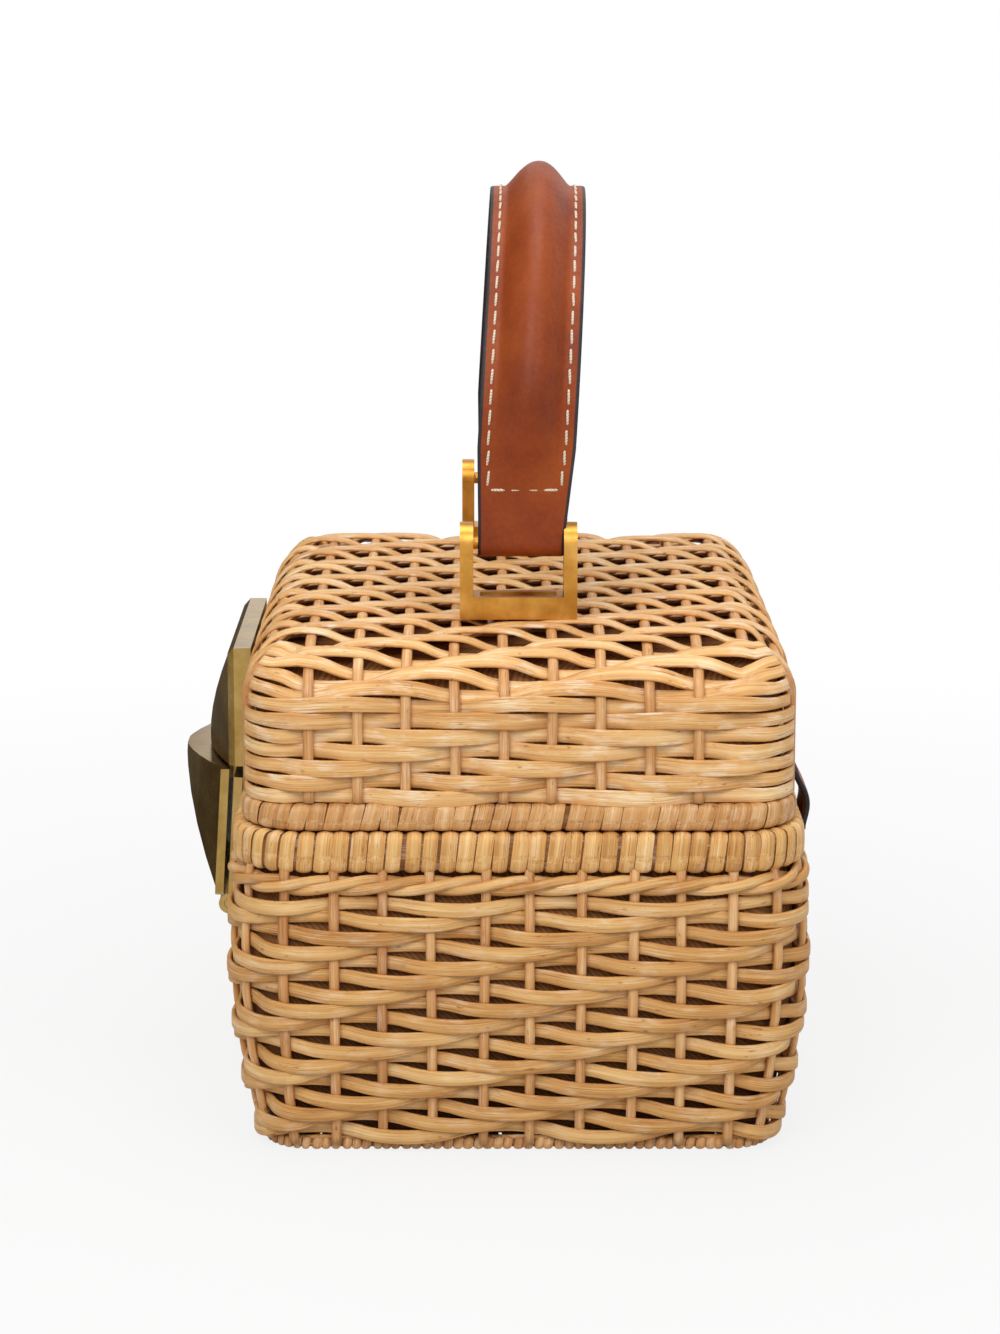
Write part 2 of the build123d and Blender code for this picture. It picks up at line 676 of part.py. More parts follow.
with BuildPart() as latch_flap:
    with BuildSketch(clasp_plane.offset(flap_back)):
        with Locations((0, (flap_low + flap_high) / 2)):
            Rectangle(clasp_wide, flap_high - flap_low)
    extrude(amount=flap_thick)
    lower_corners = latch_flap.edges().filter_by(Axis((0, 0, 0), clasp_normal)).group_by(Axis.Z)[0]
    fillet(lower_corners, radius=clasp_corner)
    for rise_share, size_share in boss_levels:
        with BuildSketch(clasp_plane.offset(flap_front + flap_boss_rise * rise_share - touch_clearance)):
            with Locations((0, flap_high - flap_boss_tall * size_share / 2)):
                Rectangle(boss_wide * size_share, flap_boss_tall * size_share)
    loft(ruled=True)
    with BuildSketch(barrel_plane):
        with Locations((hinge_low, body_plate_thick)):
            Circle(knuckle_radius)
        web_low = hinge_low
        web_high = flap_low + flap_thick
        web_in = flap_back
        web_out = body_plate_thick + knuckle_radius
        with Locations(((web_low + web_high) / 2, (web_in + web_out) / 2)):
            Rectangle(web_high - web_low, web_out - web_in)
        with Locations((hinge_low, body_plate_thick)):
            Circle(latch_pin_radius + fit_clearance, mode=Mode.SUBTRACT)
    extrude(amount=flap_barrel_wide / 2, both=True)
    with BuildSketch(Plane.XY.offset(split_height - split_gap / 2)):
        Rectangle(bag_length, 2 * bag_depth)
    extrude(amount=bag_depth, mode=Mode.SUBTRACT)
latch_flap.part.label = "latch flap"
export_step(latch_flap.part, "parts/latch_flap.step")

with BuildPart() as latch_pin:
    with BuildSketch(barrel_plane):
        with Locations((hinge_low, body_plate_thick)):
            Circle(latch_pin_radius)
    extrude(amount=flap_barrel_wide / 2 + knuckle_wide, both=True)
latch_pin.part.label = "latch pin"
export_step(latch_pin.part, "parts/latch_pin.step")

# Backing plates and rivets of the clasp, inside the weave.
lid_backing_tall = lid_wall_high - lid_low - 2 * clasp_corner
lid_backing_mid = (lid_wall_high + lid_low) / 2

with BuildPart() as lid_clasp_backing:
    with BuildSketch(front_plane(lid_inner_y - touch_clearance)):
        with Locations((0, lid_backing_mid)):
            RectangleRounded(clasp_wide, lid_backing_tall, clasp_corner)
        with Locations((-rivet_half_span, lid_rivet_height), (rivet_half_span, lid_rivet_height)):
            Circle(rivet_radius + fit_clearance, mode=Mode.SUBTRACT)
    extrude(amount=-backing_thick)
lid_clasp_backing.part.label = "lid clasp backing"
export_step(lid_clasp_backing.part, "parts/lid_clasp_backing.step")

with BuildPart() as lid_clasp_rivets:
    with BuildSketch(front_plane(lid_inner_y - backing_thick - 2 * touch_clearance)):
        with Locations((-rivet_half_span, lid_rivet_height), (rivet_half_span, lid_rivet_height)):
            Circle(rivet_head_radius)
    extrude(amount=-rivet_head_tall)
    with BuildSketch(front_plane(lid_inner_y - backing_thick - 2 * touch_clearance)):
        with Locations((-rivet_half_span, lid_rivet_height), (rivet_half_span, lid_rivet_height)):
            Circle(rivet_radius)
    extrude(amount=lid_plate_back - lid_inner_y + backing_thick)
lid_clasp_rivets.part.label = "lid clasp rivets"
export_step(lid_clasp_rivets.part, "parts/lid_clasp_rivets.step")

body_backing_out = body_half_y + belly(body_wall_top) - body_ridge - body_wall - touch_clearance
body_backing_tall = 2 * (body_wall_top - body_rivet_height - clasp_corner)
rivet_lift = body_rivet_height + rivet_radius - contact_height
body_rivet_out = contact_out - touch_clearance - rivet_lift * plate_slope_share

with BuildPart() as body_clasp_backing:
    with BuildSketch(front_plane(body_backing_out)):
        with Locations((0, body_rivet_height)):
            RectangleRounded(clasp_wide, body_backing_tall, clasp_corner)
        with Locations((-rivet_half_span, body_rivet_height), (rivet_half_span, body_rivet_height)):
            Circle(rivet_radius + fit_clearance, mode=Mode.SUBTRACT)
    extrude(amount=-backing_thick)
body_clasp_backing.part.label = "body clasp backing"
export_step(body_clasp_backing.part, "parts/body_clasp_backing.step")

with BuildPart() as body_clasp_rivets:
    with BuildSketch(front_plane(body_backing_out - backing_thick - touch_clearance)):
        with Locations((-rivet_half_span, body_rivet_height), (rivet_half_span, body_rivet_height)):
            Circle(rivet_head_radius)
    extrude(amount=-rivet_head_tall)
    with BuildSketch(front_plane(body_backing_out - backing_thick - touch_clearance)):
        with Locations((-rivet_half_span, body_rivet_height), (rivet_half_span, body_rivet_height)):
            Circle(rivet_radius)
    extrude(amount=body_rivet_out - body_backing_out + backing_thick)
body_clasp_rivets.part.label = "body clasp rivets"
export_step(body_clasp_rivets.part, "parts/body_clasp_rivets.step")

# Leather straps at the back that bridge the seam and bend as the lid opens.
strap_top = seam_height + strap_half_tall
strap_foot = seam_height - strap_half_tall
strap_lid_y = lid_half_y + lid_rim_proud + touch_clearance
strap_body_y = body_half_y + touch_clearance

for side, place in ((1, "near"), (-1, "far")):
    with BuildPart() as hinge_strap:
        with BuildSketch(Plane.YZ.offset(side * strap_half_span)):
            with BuildLine():
                inside = ThreePointArc(
                    (strap_lid_y, strap_top),
                    (strap_body_y + strap_bulge - strap_thick, seam_height),
                    (strap_body_y, strap_foot),
                )
                outside = ThreePointArc(
                    (strap_lid_y + strap_thick, strap_top),
                    (strap_body_y + strap_bulge, seam_height),
                    (strap_body_y + strap_thick, strap_foot),
                )
                Line(inside @ 0, outside @ 0)
                Line(inside @ 1, outside @ 1)
            make_face()
        extrude(amount=strap_wide / 2, both=True)
    hinge_strap.part.label = "hinge strap " + place
    export_step(hinge_strap.part, "parts/hinge_strap_" + place + ".step")
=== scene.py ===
# %% [markdown]
# # A wicker box handbag
# The bag is a woven body with a woven lid, a stitched leather handle on brass
# brackets and a brass clasp. The solid model is loaded first and stays fixed. All that
# is soft or woven is then built around it, strand by strand, in the same frame.

# %% Load the frame
import math

import bpy
import numpy as np
from mathutils import Euler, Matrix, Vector


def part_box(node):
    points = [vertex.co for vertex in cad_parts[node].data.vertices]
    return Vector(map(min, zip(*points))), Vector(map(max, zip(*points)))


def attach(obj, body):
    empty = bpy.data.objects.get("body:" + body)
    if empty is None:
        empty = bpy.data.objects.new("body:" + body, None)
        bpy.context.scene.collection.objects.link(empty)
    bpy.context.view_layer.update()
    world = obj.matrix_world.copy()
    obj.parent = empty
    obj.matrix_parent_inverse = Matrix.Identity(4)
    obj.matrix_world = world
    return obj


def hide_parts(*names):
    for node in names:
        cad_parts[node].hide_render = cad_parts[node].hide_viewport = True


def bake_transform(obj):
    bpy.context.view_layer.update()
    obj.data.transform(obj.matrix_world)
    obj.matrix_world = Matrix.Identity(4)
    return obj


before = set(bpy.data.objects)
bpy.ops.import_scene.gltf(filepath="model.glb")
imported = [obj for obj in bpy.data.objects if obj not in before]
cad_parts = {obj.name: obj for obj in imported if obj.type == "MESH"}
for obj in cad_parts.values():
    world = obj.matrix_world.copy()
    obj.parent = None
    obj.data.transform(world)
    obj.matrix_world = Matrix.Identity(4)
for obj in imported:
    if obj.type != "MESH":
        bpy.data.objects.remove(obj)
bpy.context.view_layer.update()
MM = 0.001
rng = np.random.default_rng(7)

# %% [markdown]
# ## Sizes read from the frame
# The weave has to lie where the solids lie, so its sizes come from the boxes of the
# solids. Only what the solids don't hold, such as the belly of the wall, is named here.

# %% Read the sizes, in millimetres


def span(node):
    """Lowest and highest corner of a solid, in millimetres."""
    low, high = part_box(node)
    return np.array(low) / MM, np.array(high) / MM


rim_low, rim_high = span("body_rim")
wall_high = span("body_basket")[1]
lid_low, lid_high = span("lid_basket")
lid_rim_low, lid_rim_high = span("lid_rim")
body_half = rim_high[:2]
body_corner = 18.0
seam_gap = 0.1
belly_share = 0.595
belly_out = wall_high[0] - rim_high[0]
belly_height = belly_share * (rim_high[2] + seam_gap)
belly_drop = 7.1
lid_half = lid_high[:2]
lid_corner = 16.0
lid_shoulder = 14.0
print("body half", body_half.round(1), "lid half", lid_half.round(1), "belly", round(belly_out, 2))

# %% [markdown]
# ## Building meshes from strands
# Wicker is many flat canes, each following its own path. One function sweeps an oval
# section along a path and keeps, at each vertex, how far along and across the cane it
# lies and a number of that cane's own. The material reads these for its grain.

# %% Helpers for strands and pieces


def unit(vectors):
    return vectors / np.linalg.norm(vectors, axis=-1, keepdims=True)


def run_along(points):
    """Distance of each point from the first, along the path."""
    return np.concatenate([[0], np.cumsum(np.linalg.norm(np.diff(points, axis=0), axis=1))])


def squared(wave, flat):
    """A sine or cosine with fuller sides: a pair of them draws an oval with flat faces."""
    return np.sign(wave) * np.abs(wave) ** (2 / flat)


def strand(points, outward, width, thick, closed=False, flat=2.5, sides=10):
    """Vertices, faces and grain of one cane swept along a path, all in millimetres."""
    if closed:
        tangent = unit(np.roll(points, -1, 0) - np.roll(points, 1, 0))
    else:
        tangent = unit(np.gradient(points, axis=0))
    across = unit(np.cross(outward, tangent))
    up = np.cross(tangent, across)
    turn = np.arange(sides) * 2 * math.pi / sides + math.pi / sides
    count = len(points)
    width = np.broadcast_to(np.asarray(width, float), (count,))
    thick = np.broadcast_to(np.asarray(thick, float), (count,))
    x = width[:, None] * squared(np.cos(turn), flat)[None, :] / 2
    y = thick[:, None] * squared(np.sin(turn), flat)[None, :] / 2
    verts = points[:, None, :] + across[:, None, :] * x[..., None] + up[:, None, :] * y[..., None]
    along = np.broadcast_to(run_along(points)[:, None], x.shape)
    grain = np.stack([along, x, np.full(x.shape, rng.random())], -1)
    ring = np.arange(count if closed else count - 1)[:, None]
    side = np.arange(sides)[None, :]
    beside = (side + 1) % sides
    ahead = (ring + 1) % count * sides
    faces = np.stack([ring * sides + side, ahead + side, ahead + beside, ring * sides + beside], -1)
    faces = faces.reshape(-1, 4).tolist()
    if not closed:
        faces.append(list(range(sides)))
        faces.append(list(range(count * sides - 1, (count - 1) * sides - 1, -1)))
    return verts.reshape(-1, 3), faces, grain.reshape(-1, 3)


def piece(name, strands, materials, body, replaces=(), face_material=None):
    """One object from many strands, riding on a body of the frame."""
    verts, faces, grains, base = [], [], [], 0
    for v, f, g in strands:
        verts.append(v)
        grains.append(g)
        faces.extend([[i + base for i in face] for face in f])
        base += len(v)
    verts = np.concatenate(verts) * MM
    mesh = bpy.data.meshes.new(name)
    mesh.from_pydata(verts.tolist(), [], faces)
    mesh.polygons.foreach_set("use_smooth", np.ones(len(faces), bool))
    attribute = mesh.attributes.new("grain", "FLOAT_VECTOR", "POINT")
    attribute.data.foreach_set("vector", np.concatenate(grains).astype(np.float32).ravel())
    for material in materials:
        mesh.materials.append(material)
    if face_material is not None:
        mesh.polygons.foreach_set("material_index", np.asarray(face_material, np.int32))
    mesh.update()
    made = bpy.data.objects.new(name, mesh)
    bpy.context.scene.collection.objects.link(made)
    if body:
        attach(made, body)
    if replaces:
        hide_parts(*replaces)
    triangles = sum(len(f) - 2 for f in faces)
    print(name, "has", len(strands), "parts and", triangles, "triangles")
    return made


def wander(count, reach, waves=5):
    """A soft random wave of about that reach, which closes on itself."""
    turn = np.arange(count) * 2 * math.pi / count
    total = np.zeros(count)
    for k in range(1, waves + 1):
        total += rng.normal() * np.cos(k * turn + rng.random() * 2 * math.pi)
    return total * reach / math.sqrt(waves)


print("helpers for strands and pieces ready")

# %% [markdown]
# ## Short calls for materials
# A material is a net of nodes, and each one takes several lines to add and to join. A
# small class shortens this. The world has such a net too, so it can use the same calls.

# %% Nodes and finishes
WHITE = (1, 1, 1, 1)
BLACK = (0, 0, 0, 1)


def srgb(red, green, blue):
    """A colour as seen on a screen, from 0 to 255, as the shader's linear colour."""
    values = np.array([red, green, blue]) / 255
    linear = np.where(values <= 0.04045, values / 12.92, ((values + 0.055) / 1.055) ** 2.4)
    return (*linear.tolist(), 1.0)


def grey(value):
    return (value, value, value, 1)


class Finish:
    """A material or world, with short calls to add and join its nodes."""

    def __init__(self, name, kind=bpy.data.materials):
        self.made = kind.new(name)
        self.made.use_nodes = True
        self.nodes = self.made.node_tree.nodes

    def feed(self, socket, value):
        """Set a socket to a constant, or join another node's output to it."""
        if isinstance(value, (int, float, tuple)):
            socket.default_value = value
        else:
            self.made.node_tree.links.new(value, socket)

    def add(self, kind, *first_inputs, **named):
        """A new node with its settings and inputs, the first inputs in their order."""
        node = self.nodes.new(kind)
        for name, value in named.items():
            if name in node.inputs:
                self.feed(node.inputs[name], value)
            else:
                setattr(node, name, value)
        for socket, value in zip(node.inputs, first_inputs):
            self.feed(socket, value)
        return node

    def math(self, operation, *values):
        return self.add("ShaderNodeMath", *values, operation=operation).outputs[0]

    def times(self, value, factor):
        return self.math("MULTIPLY", value, factor)

    def weighed(self, first, first_share, second, second_share):
        """The sum of two values, each times its share."""
        return self.math("ADD", self.times(first, first_share), self.times(second, second_share))

    def parts(self, vector):
        return self.add("ShaderNodeSeparateXYZ", vector).outputs

    def ramp(self, value, stops):
        node = self.add("ShaderNodeValToRGB", value)
        while len(node.color_ramp.elements) < len(stops):
            node.color_ramp.elements.new(0.5)
        for element, (place, colour) in zip(node.color_ramp.elements, stops):
            element.position = place
            element.color = colour
        return node.outputs[0]

    def noise(self, vector, scale, detail=3.0, rough=0.55):
        named = {"Vector": vector, "Scale": scale, "Detail": detail, "Roughness": rough}
        return self.add("ShaderNodeTexNoise", **named).outputs[0]

    def mix(self, kind, factor, first, second):
        node = self.add("ShaderNodeMix", factor, data_type="RGBA", blend_type=kind)
        self.feed(node.inputs[6], first)
        self.feed(node.inputs[7], second)
        return node.outputs[2]

    def place(self):
        """Where a point lies on its object."""
        return self.add("ShaderNodeTexCoord").outputs["Object"]

    def grain(self):
        """How far along and across its strand a point lies, and that strand's own number."""
        return self.parts(self.add("ShaderNodeAttribute", attribute_name="grain").outputs["Vector"])

    def paint(self, name, value):
        self.feed(self.nodes["Principled BSDF"].inputs[name], value)

    def bump(self, height, strength, distance):
        node = self.add("ShaderNodeBump", Height=height, Strength=strength, Distance=distance)
        self.paint("Normal", node.outputs[0])

    def show(self, output, shader):
        """Make a shader the one that the net puts out."""
        self.feed(self.nodes[output].inputs["Surface"], shader.outputs[0])


print("short calls for materials ready")

# %% [markdown]
# ## The cane
# Peeled rattan is straw coloured, with fine fibres along its length, lighter and darker
# canes side by side, a few brown flecks, grimy patches, and darker edges on each cane.
# The fibres come from a noise that is stretched along the cane. A thin lacquer gives it a soft shine.

# %% Cane material


def cane_finish(name, dark, middle, light, shine, wear_and_highlight=0.35):
    cane = Finish(name)
    along, across, own = cane.grain()
    own_place = cane.times(own, 91.7)

    def streaks(along_scale, across_scale, detail, rough=0.55):
        """A noise stretched along the cane, which differs from cane to cane."""
        scaled = cane.times(along, along_scale), cane.times(across, across_scale)
        stretched = cane.add("ShaderNodeCombineXYZ", *scaled, own_place).outputs[0]
        return cane.noise(stretched, 1.0, detail, rough)

    fibres = streaks(0.045, 3.4, 4.0, 0.65)
    patches = streaks(0.05, 0.12, 2.0)
    flecks = streaks(0.32, 1.1, 2.0)
    wear_and_highlight_noise = streaks(0.14, 0.35, 2.0)
    threads = streaks(0.10, 5.5, 3.0)
    tone = cane.weighed(fibres, 0.62, patches, 0.43)
    tone = cane.math("ADD", tone, cane.times(cane.math("SUBTRACT", own, 0.5), 0.16))
    colour = cane.ramp(tone, [(0.34, dark), (0.52, middle), (0.70, light)])
    fleck_shade = cane.ramp(flecks, [(0.0, WHITE), (0.66, WHITE), (0.76, srgb(176, 138, 98))])
    colour = cane.mix("MULTIPLY", 0.8, colour, fleck_shade)
    # Each cane is a little darker towards its edges.
    edge = cane.ramp(cane.math("ABSOLUTE", across), [(0.0, WHITE), (1.0, srgb(236, 214, 182))])
    colour = cane.mix("MULTIPLY", 0.7, colour, edge)
    # Whitish streaks along the canes, partly wear and partly painted highlight.
    wear_and_highlight_here = cane.ramp(wear_and_highlight_noise, [(0.50, BLACK), (0.66, WHITE)])
    wear_and_highlight_threads = cane.ramp(threads, [(0.42, BLACK), (0.60, WHITE)])
    wear_and_highlight_share = cane.times(cane.times(wear_and_highlight_here, wear_and_highlight_threads), wear_and_highlight)
    colour = cane.mix("MIX", wear_and_highlight_share, colour, srgb(252, 234, 206))
    grime = cane.ramp(threads, [(0.30, srgb(186, 142, 96)), (0.40, WHITE)])
    cane.paint("Base Color", cane.mix("MULTIPLY", 0.7, colour, grime))
    cane.paint("Roughness", cane.ramp(fibres, [(0.3, grey(shine + 0.16)), (0.7, grey(shine))]))
    cane.paint("Specular IOR Level", 0.34)
    cane.bump(fibres, 0.7, 0.0003)
    return cane.made


body_cane = cane_finish("body_cane", srgb(182, 128, 68), srgb(218, 170, 106), srgb(240, 204, 144), 0.42)
# The lid's canes get the most whitish streaks of wear and painted highlight.
lid_cane = cane_finish("lid_cane", srgb(206, 152, 90), srgb(238, 192, 130), srgb(250, 219, 166), 0.40, 0.75)
wrap_cane = cane_finish("wrap_cane", srgb(190, 140, 78), srgb(230, 184, 118), srgb(246, 212, 152), 0.40)
rim_cane = cane_finish("rim_cane", srgb(180, 130, 76), srgb(216, 168, 112), srgb(234, 196, 144), 0.44)
stake_cane = cane_finish("stake_cane", srgb(184, 128, 76), srgb(218, 166, 110), srgb(236, 196, 142), 0.46)
core_cane = cane_finish("core_cane", srgb(92, 56, 26), srgb(134, 88, 44), srgb(168, 118, 66), 0.6)
print("cane finishes made")

# %% [markdown]
# ## The body's weave
# Each row goes over two upright stakes and behind the next two, and the next row down
# starts one stake further on, which is a twill. A strand is pushed outwards by a
# smoothed cosine along the stakes, and sinks a little where it lies in front. Making
# real strands, not a bump map, gives the dark gaps beside the stakes.

# %% Path round the body


def belly(height):
    """How far the wall stands outside the rim line at a height."""
    return belly_out - belly_drop * ((height - belly_height) / belly_height) ** 2


class Loop:
    """A rounded rectangle, walked from the middle of its near end."""

    def __init__(self, half, corner):
        self.half = half
        self.corner = corner
        flat_x, flat_y = half - corner
        bend = corner * math.pi / 2
        self.lengths = [flat_y, bend, 2 * flat_x, bend, 2 * flat_y, bend, 2 * flat_x, bend, flat_y]
        self.girth = sum(self.lengths)

    def spots(self, count):
        """Distances that share out its girth evenly."""
        return np.arange(count) / count * self.girth

    def at(self, distance):
        """Places at distances along it, and the ways out there."""
        x, y = self.half
        flat_x, flat_y = self.half - self.corner
        bends = [(flat_x, flat_y), (-flat_x, flat_y), (-flat_x, -flat_y), (flat_x, -flat_y)]
        straights = [(x, 0), (flat_x, y), (-x, flat_y), (-flat_x, -y), (x, -flat_y)]
        distance = np.mod(distance, self.girth)
        place = np.zeros((len(distance), 2))
        angle = np.zeros(len(distance))
        start = 0.0
        for k, length in enumerate(self.lengths):
            here = (distance >= start) & (distance <= start + length)
            rest = distance[here] - start
            turn = k // 2 % 4 * math.pi / 2
            if k % 2:
                turn = turn + rest / self.corner
                place[here] = bends[k // 2] + self.corner * np.column_stack([np.cos(turn), np.sin(turn)])
            else:
                place[here] = straights[k // 2] + np.outer(rest, [-math.sin(turn), math.cos(turn)])
            angle[here] = turn
            start += length
        return place, np.column_stack([np.cos(angle), np.sin(angle)])

    def beside(self, distance, out, level):
        """Points that lie that far outside it at a level, and the ways out there."""
        place, facing = self.at(distance)
        count = len(distance)
        place = place + facing * np.broadcast_to(out, count)[:, None]
        points = np.column_stack([place, np.broadcast_to(level, count)])
        return points, np.column_stack([facing, np.zeros(count)])


def twill(stake, row):
    """1 in the middle of a pair of stakes that a strand goes over, -1 in the middle of the next."""
    return np.cos((stake + row - 0.5) * math.pi / 2)


def over_under(stake, row, sharp=2.2):
    """The same wave with flatter crests, so that the strand crosses quickly."""
    return np.tanh(sharp * twill(stake, row)) / math.tanh(sharp)


body_stakes = 52
body_loop = Loop(body_half, body_corner)
body_stake_pitch = body_loop.girth / body_stakes
first_stake = 3.0
strand_thick = 1.1
stake_radius = 0.85
print("girth", round(body_loop.girth, 1), "mm, stakes", round(body_stake_pitch, 2), "mm apart")

# %% Rows of the body
row_pitch = 3.45
low_row_pitch = 3.08
low_rows_under = 25
top_row = 61.7
last_row_under = 6.0
row_wide = 3.3
first_twill_row = -2
smile_top = 0.55
smile_growth = 0.7
smile_grown_at = 48

row_heights = [top_row]
while row_heights[-1] > last_row_under:
    row_heights.append(row_heights[-1] - (row_pitch if row_heights[-1] > low_rows_under else low_row_pitch))
samples = body_stakes * 8
way = body_loop.spots(samples) + body_loop.girth / 2
stake_at = (way - first_stake) / body_stake_pitch
body_depth = strand_thick + stake_radius
body_rows = []
for row, height in enumerate(row_heights, first_twill_row):
    sway = twill(stake_at, row)
    smile = smile_top + smile_growth * min(1.0, (top_row - height) / smile_grown_at)
    level = height - smile * sway + wander(samples, 0.16, 9) + wander(samples, 0.10, 40)
    push = over_under(stake_at, row) * (stake_radius + strand_thick / 2)
    out = belly(level) - body_depth + push + wander(samples, 0.10, 30)
    points, outward = body_loop.beside(way, out, level)
    width = row_wide + 0.16 * sway + wander(samples, 0.09, 24)
    body_rows.append(strand(points, outward, width, strand_thick, closed=True, flat=4.5))

# The lowest row turns in under the bag.
foot_row_height = 2.4
foot_row_in = 9.0
foot_row_thick = 1.3
over = over_under(stake_at, len(row_heights) + first_twill_row)
foot_row_out = 0.5 * over - foot_row_in
points, facing = body_loop.beside(way, foot_row_out, foot_row_height + 0.3 * over)
body_rows.append(strand(points, 0.6 * facing + np.array([0, 0, -0.8]), row_wide, foot_row_thick, closed=True))
piece("body_weave", body_rows, [body_cane], "basket", ["body_basket"])

# %% Stakes of the body
stake_wide = 2.45
stake_thick = 2 * stake_radius - 0.1
stake_low = 2.0
stake_high = 72.0
lean_height = 70
levels = np.linspace(stake_low, stake_high, 30)
row_here = (top_row - levels) / row_pitch + first_twill_row
uprights = []
for k in range(body_stakes):
    tilt = rng.normal() * 0.35
    spot = first_stake + k * body_stake_pitch + tilt * (levels / lean_height) ** 2 + rng.normal() * 0.25
    out = belly(levels) - strand_thick - stake_radius - 0.25 * over_under(k, row_here)
    points, outward = body_loop.beside(spot, out, levels)
    uprights.append(strand(points, outward, stake_wide, stake_thick, sides=8, flat=2.6))
piece("body_stakes", uprights, [stake_cane], "basket")

# %% [markdown]
# ## The lining
# Behind the gaps lies a plain brown cloth, which keeps the inside dark. A thin sheet
# that follows the wall is enough, with a fine ribbed weave in its material.

# %% Cloth
cloth = Finish("brown_cloth")
cloth_place = cloth.place()
ribs = cloth.add("ShaderNodeTexWave", cloth_place, bands_direction="DIAGONAL", Scale=420.0, Distortion=1.5)
rib = ribs.outputs["Fac"]
cloth_tone = cloth.weighed(rib, 0.5, cloth.noise(cloth_place, 160.0), 0.5)
cloth_colour = cloth.ramp(cloth_tone, [(0.25, srgb(138, 92, 52)), (0.75, srgb(168, 116, 70))])
# Painted shade: the cloth's colour darkens towards the bottom, where the inside of the bag lies in shade.
cloth_height = cloth.times(cloth.parts(cloth_place)[2], 14.0)
painted_low_shade = cloth.ramp(cloth_height, [(0.05, srgb(120, 104, 92)), (0.8, WHITE)])
cloth.paint("Base Color", cloth.mix("MULTIPLY", 1.0, cloth_colour, painted_low_shade))
cloth.paint("Roughness", 0.9)
cloth.paint("Specular IOR Level", 0.2)
cloth.bump(rib, 0.4, 0.0002)
print("cloth finish made")

# %% Lining of the body


def quads(rings, count):
    """Faces between closed rings that all have this count of points."""
    faces = []
    for low in range(0, (rings - 1) * count, count):
        for k in range(count):
            n = (k + 1) % count
            faces.append([low + k, low + n, low + count + n, low + count + k])
    return faces


def capped_sheet(rings):
    """A skin without grain through closed rings of points, with one face in its last ring."""
    count = len(rings[0])
    verts = np.concatenate(rings)
    faces = quads(len(rings), count)
    faces.append([(len(rings) - 1) * count + k for k in range(count)])
    return verts, faces, np.zeros_like(verts)


lining_points = 200
lining_room = 0.5
wall_top = 66.0
rim_depth = 6.4
mouth_rings = [(84.0, 0.6), (79.0, 0.4), (70.0, 0.0)]
wall_rings = [(height, 0.0) for height in np.linspace(64, 5, 14)]
base_lining_in = 12.0
base_lining_height = 4.1
lining_spots = body_loop.spots(lining_points)
lining_rings = []
for height, extra in mouth_rings + wall_rings:
    depth = -belly(min(height, wall_top)) + 2 * strand_thick + 2 * stake_radius + lining_room
    depth = max(depth, rim_depth if height > wall_top else 0.0)
    lining_rings.append(body_loop.beside(lining_spots, -(depth + extra), height)[0])
lining_rings.append(body_loop.beside(lining_spots, -base_lining_in, base_lining_height)[0])
piece("body_lining", [capped_sheet(lining_rings)], [cloth.made], "basket")

# %% [markdown]
# ## The base
# The bottom is a woven panel of the same cane, in the same twill. It only shows when the
# bag is lifted, so fewer and wider canes are enough.

# %% Woven base
base_half_x, base_half_y = body_half - foot_row_in
base_level = 1.6
base_wave = 0.8
base_stake_pitch = 12.0
base_row_pitch = 8.6
base_canes = np.arange(-6, 7)
downwards = np.array([0.0, 0, -1])
base_rows = []
for number in base_canes:
    x = np.linspace(-base_half_x, base_half_x, 90)
    level = base_level - base_wave * over_under(x / base_stake_pitch, number)
    points = np.column_stack([x, number * base_row_pitch + wander(90, 0.1), level])
    base_rows.append(strand(points, np.tile(downwards, (90, 1)), 8.2, 0.9, flat=5.0))
for x in base_canes * base_stake_pitch:
    y = np.linspace(-base_half_y, base_half_y, 30)
    points = np.column_stack([np.full(30, x), y, np.full(30, base_level)])
    base_rows.append(strand(points, np.tile(downwards, (30, 1)), 8.6, 0.7, flat=5.0))
piece("base_weave", base_rows, [body_cane], "basket")

# %% [markdown]
# ## Waling and wrapped rims
# Under the rim three canes are twisted round the stakes as a rope, which locks the weave.
# The rim itself is a bar with flat cane wound round it. Each turn is its own narrow band
# with a slight crown, a little slanted, and now and then a gap shows the bar.

# %% Rope of three canes
rope_canes = 3
rope_height = 66.6
rope_rise = 1.2
rope_out = 1.75
rope_middle = belly(66.4) - 1.9
rope_rows = []
for number in range(rope_canes):
    phase = (stake_at + number) * 2 * math.pi / rope_canes
    level = rope_height + rope_rise * np.sin(phase) + wander(samples, 0.1, 12)
    points, outward = body_loop.beside(way, rope_middle + rope_out * np.cos(phase), level)
    rope_rows.append(strand(points, outward, 2.5, 1.8, closed=True, flat=2.2))
piece("body_waling", rope_rows, [body_cane], "basket")

# %% Winding of a rim
BAND_CUTS = np.array([-0.5, -0.3, 0.0, 0.3, 0.5])
BAND_CROWN = np.array([-0.34, 0.04, 0.16, 0.04, -0.34])


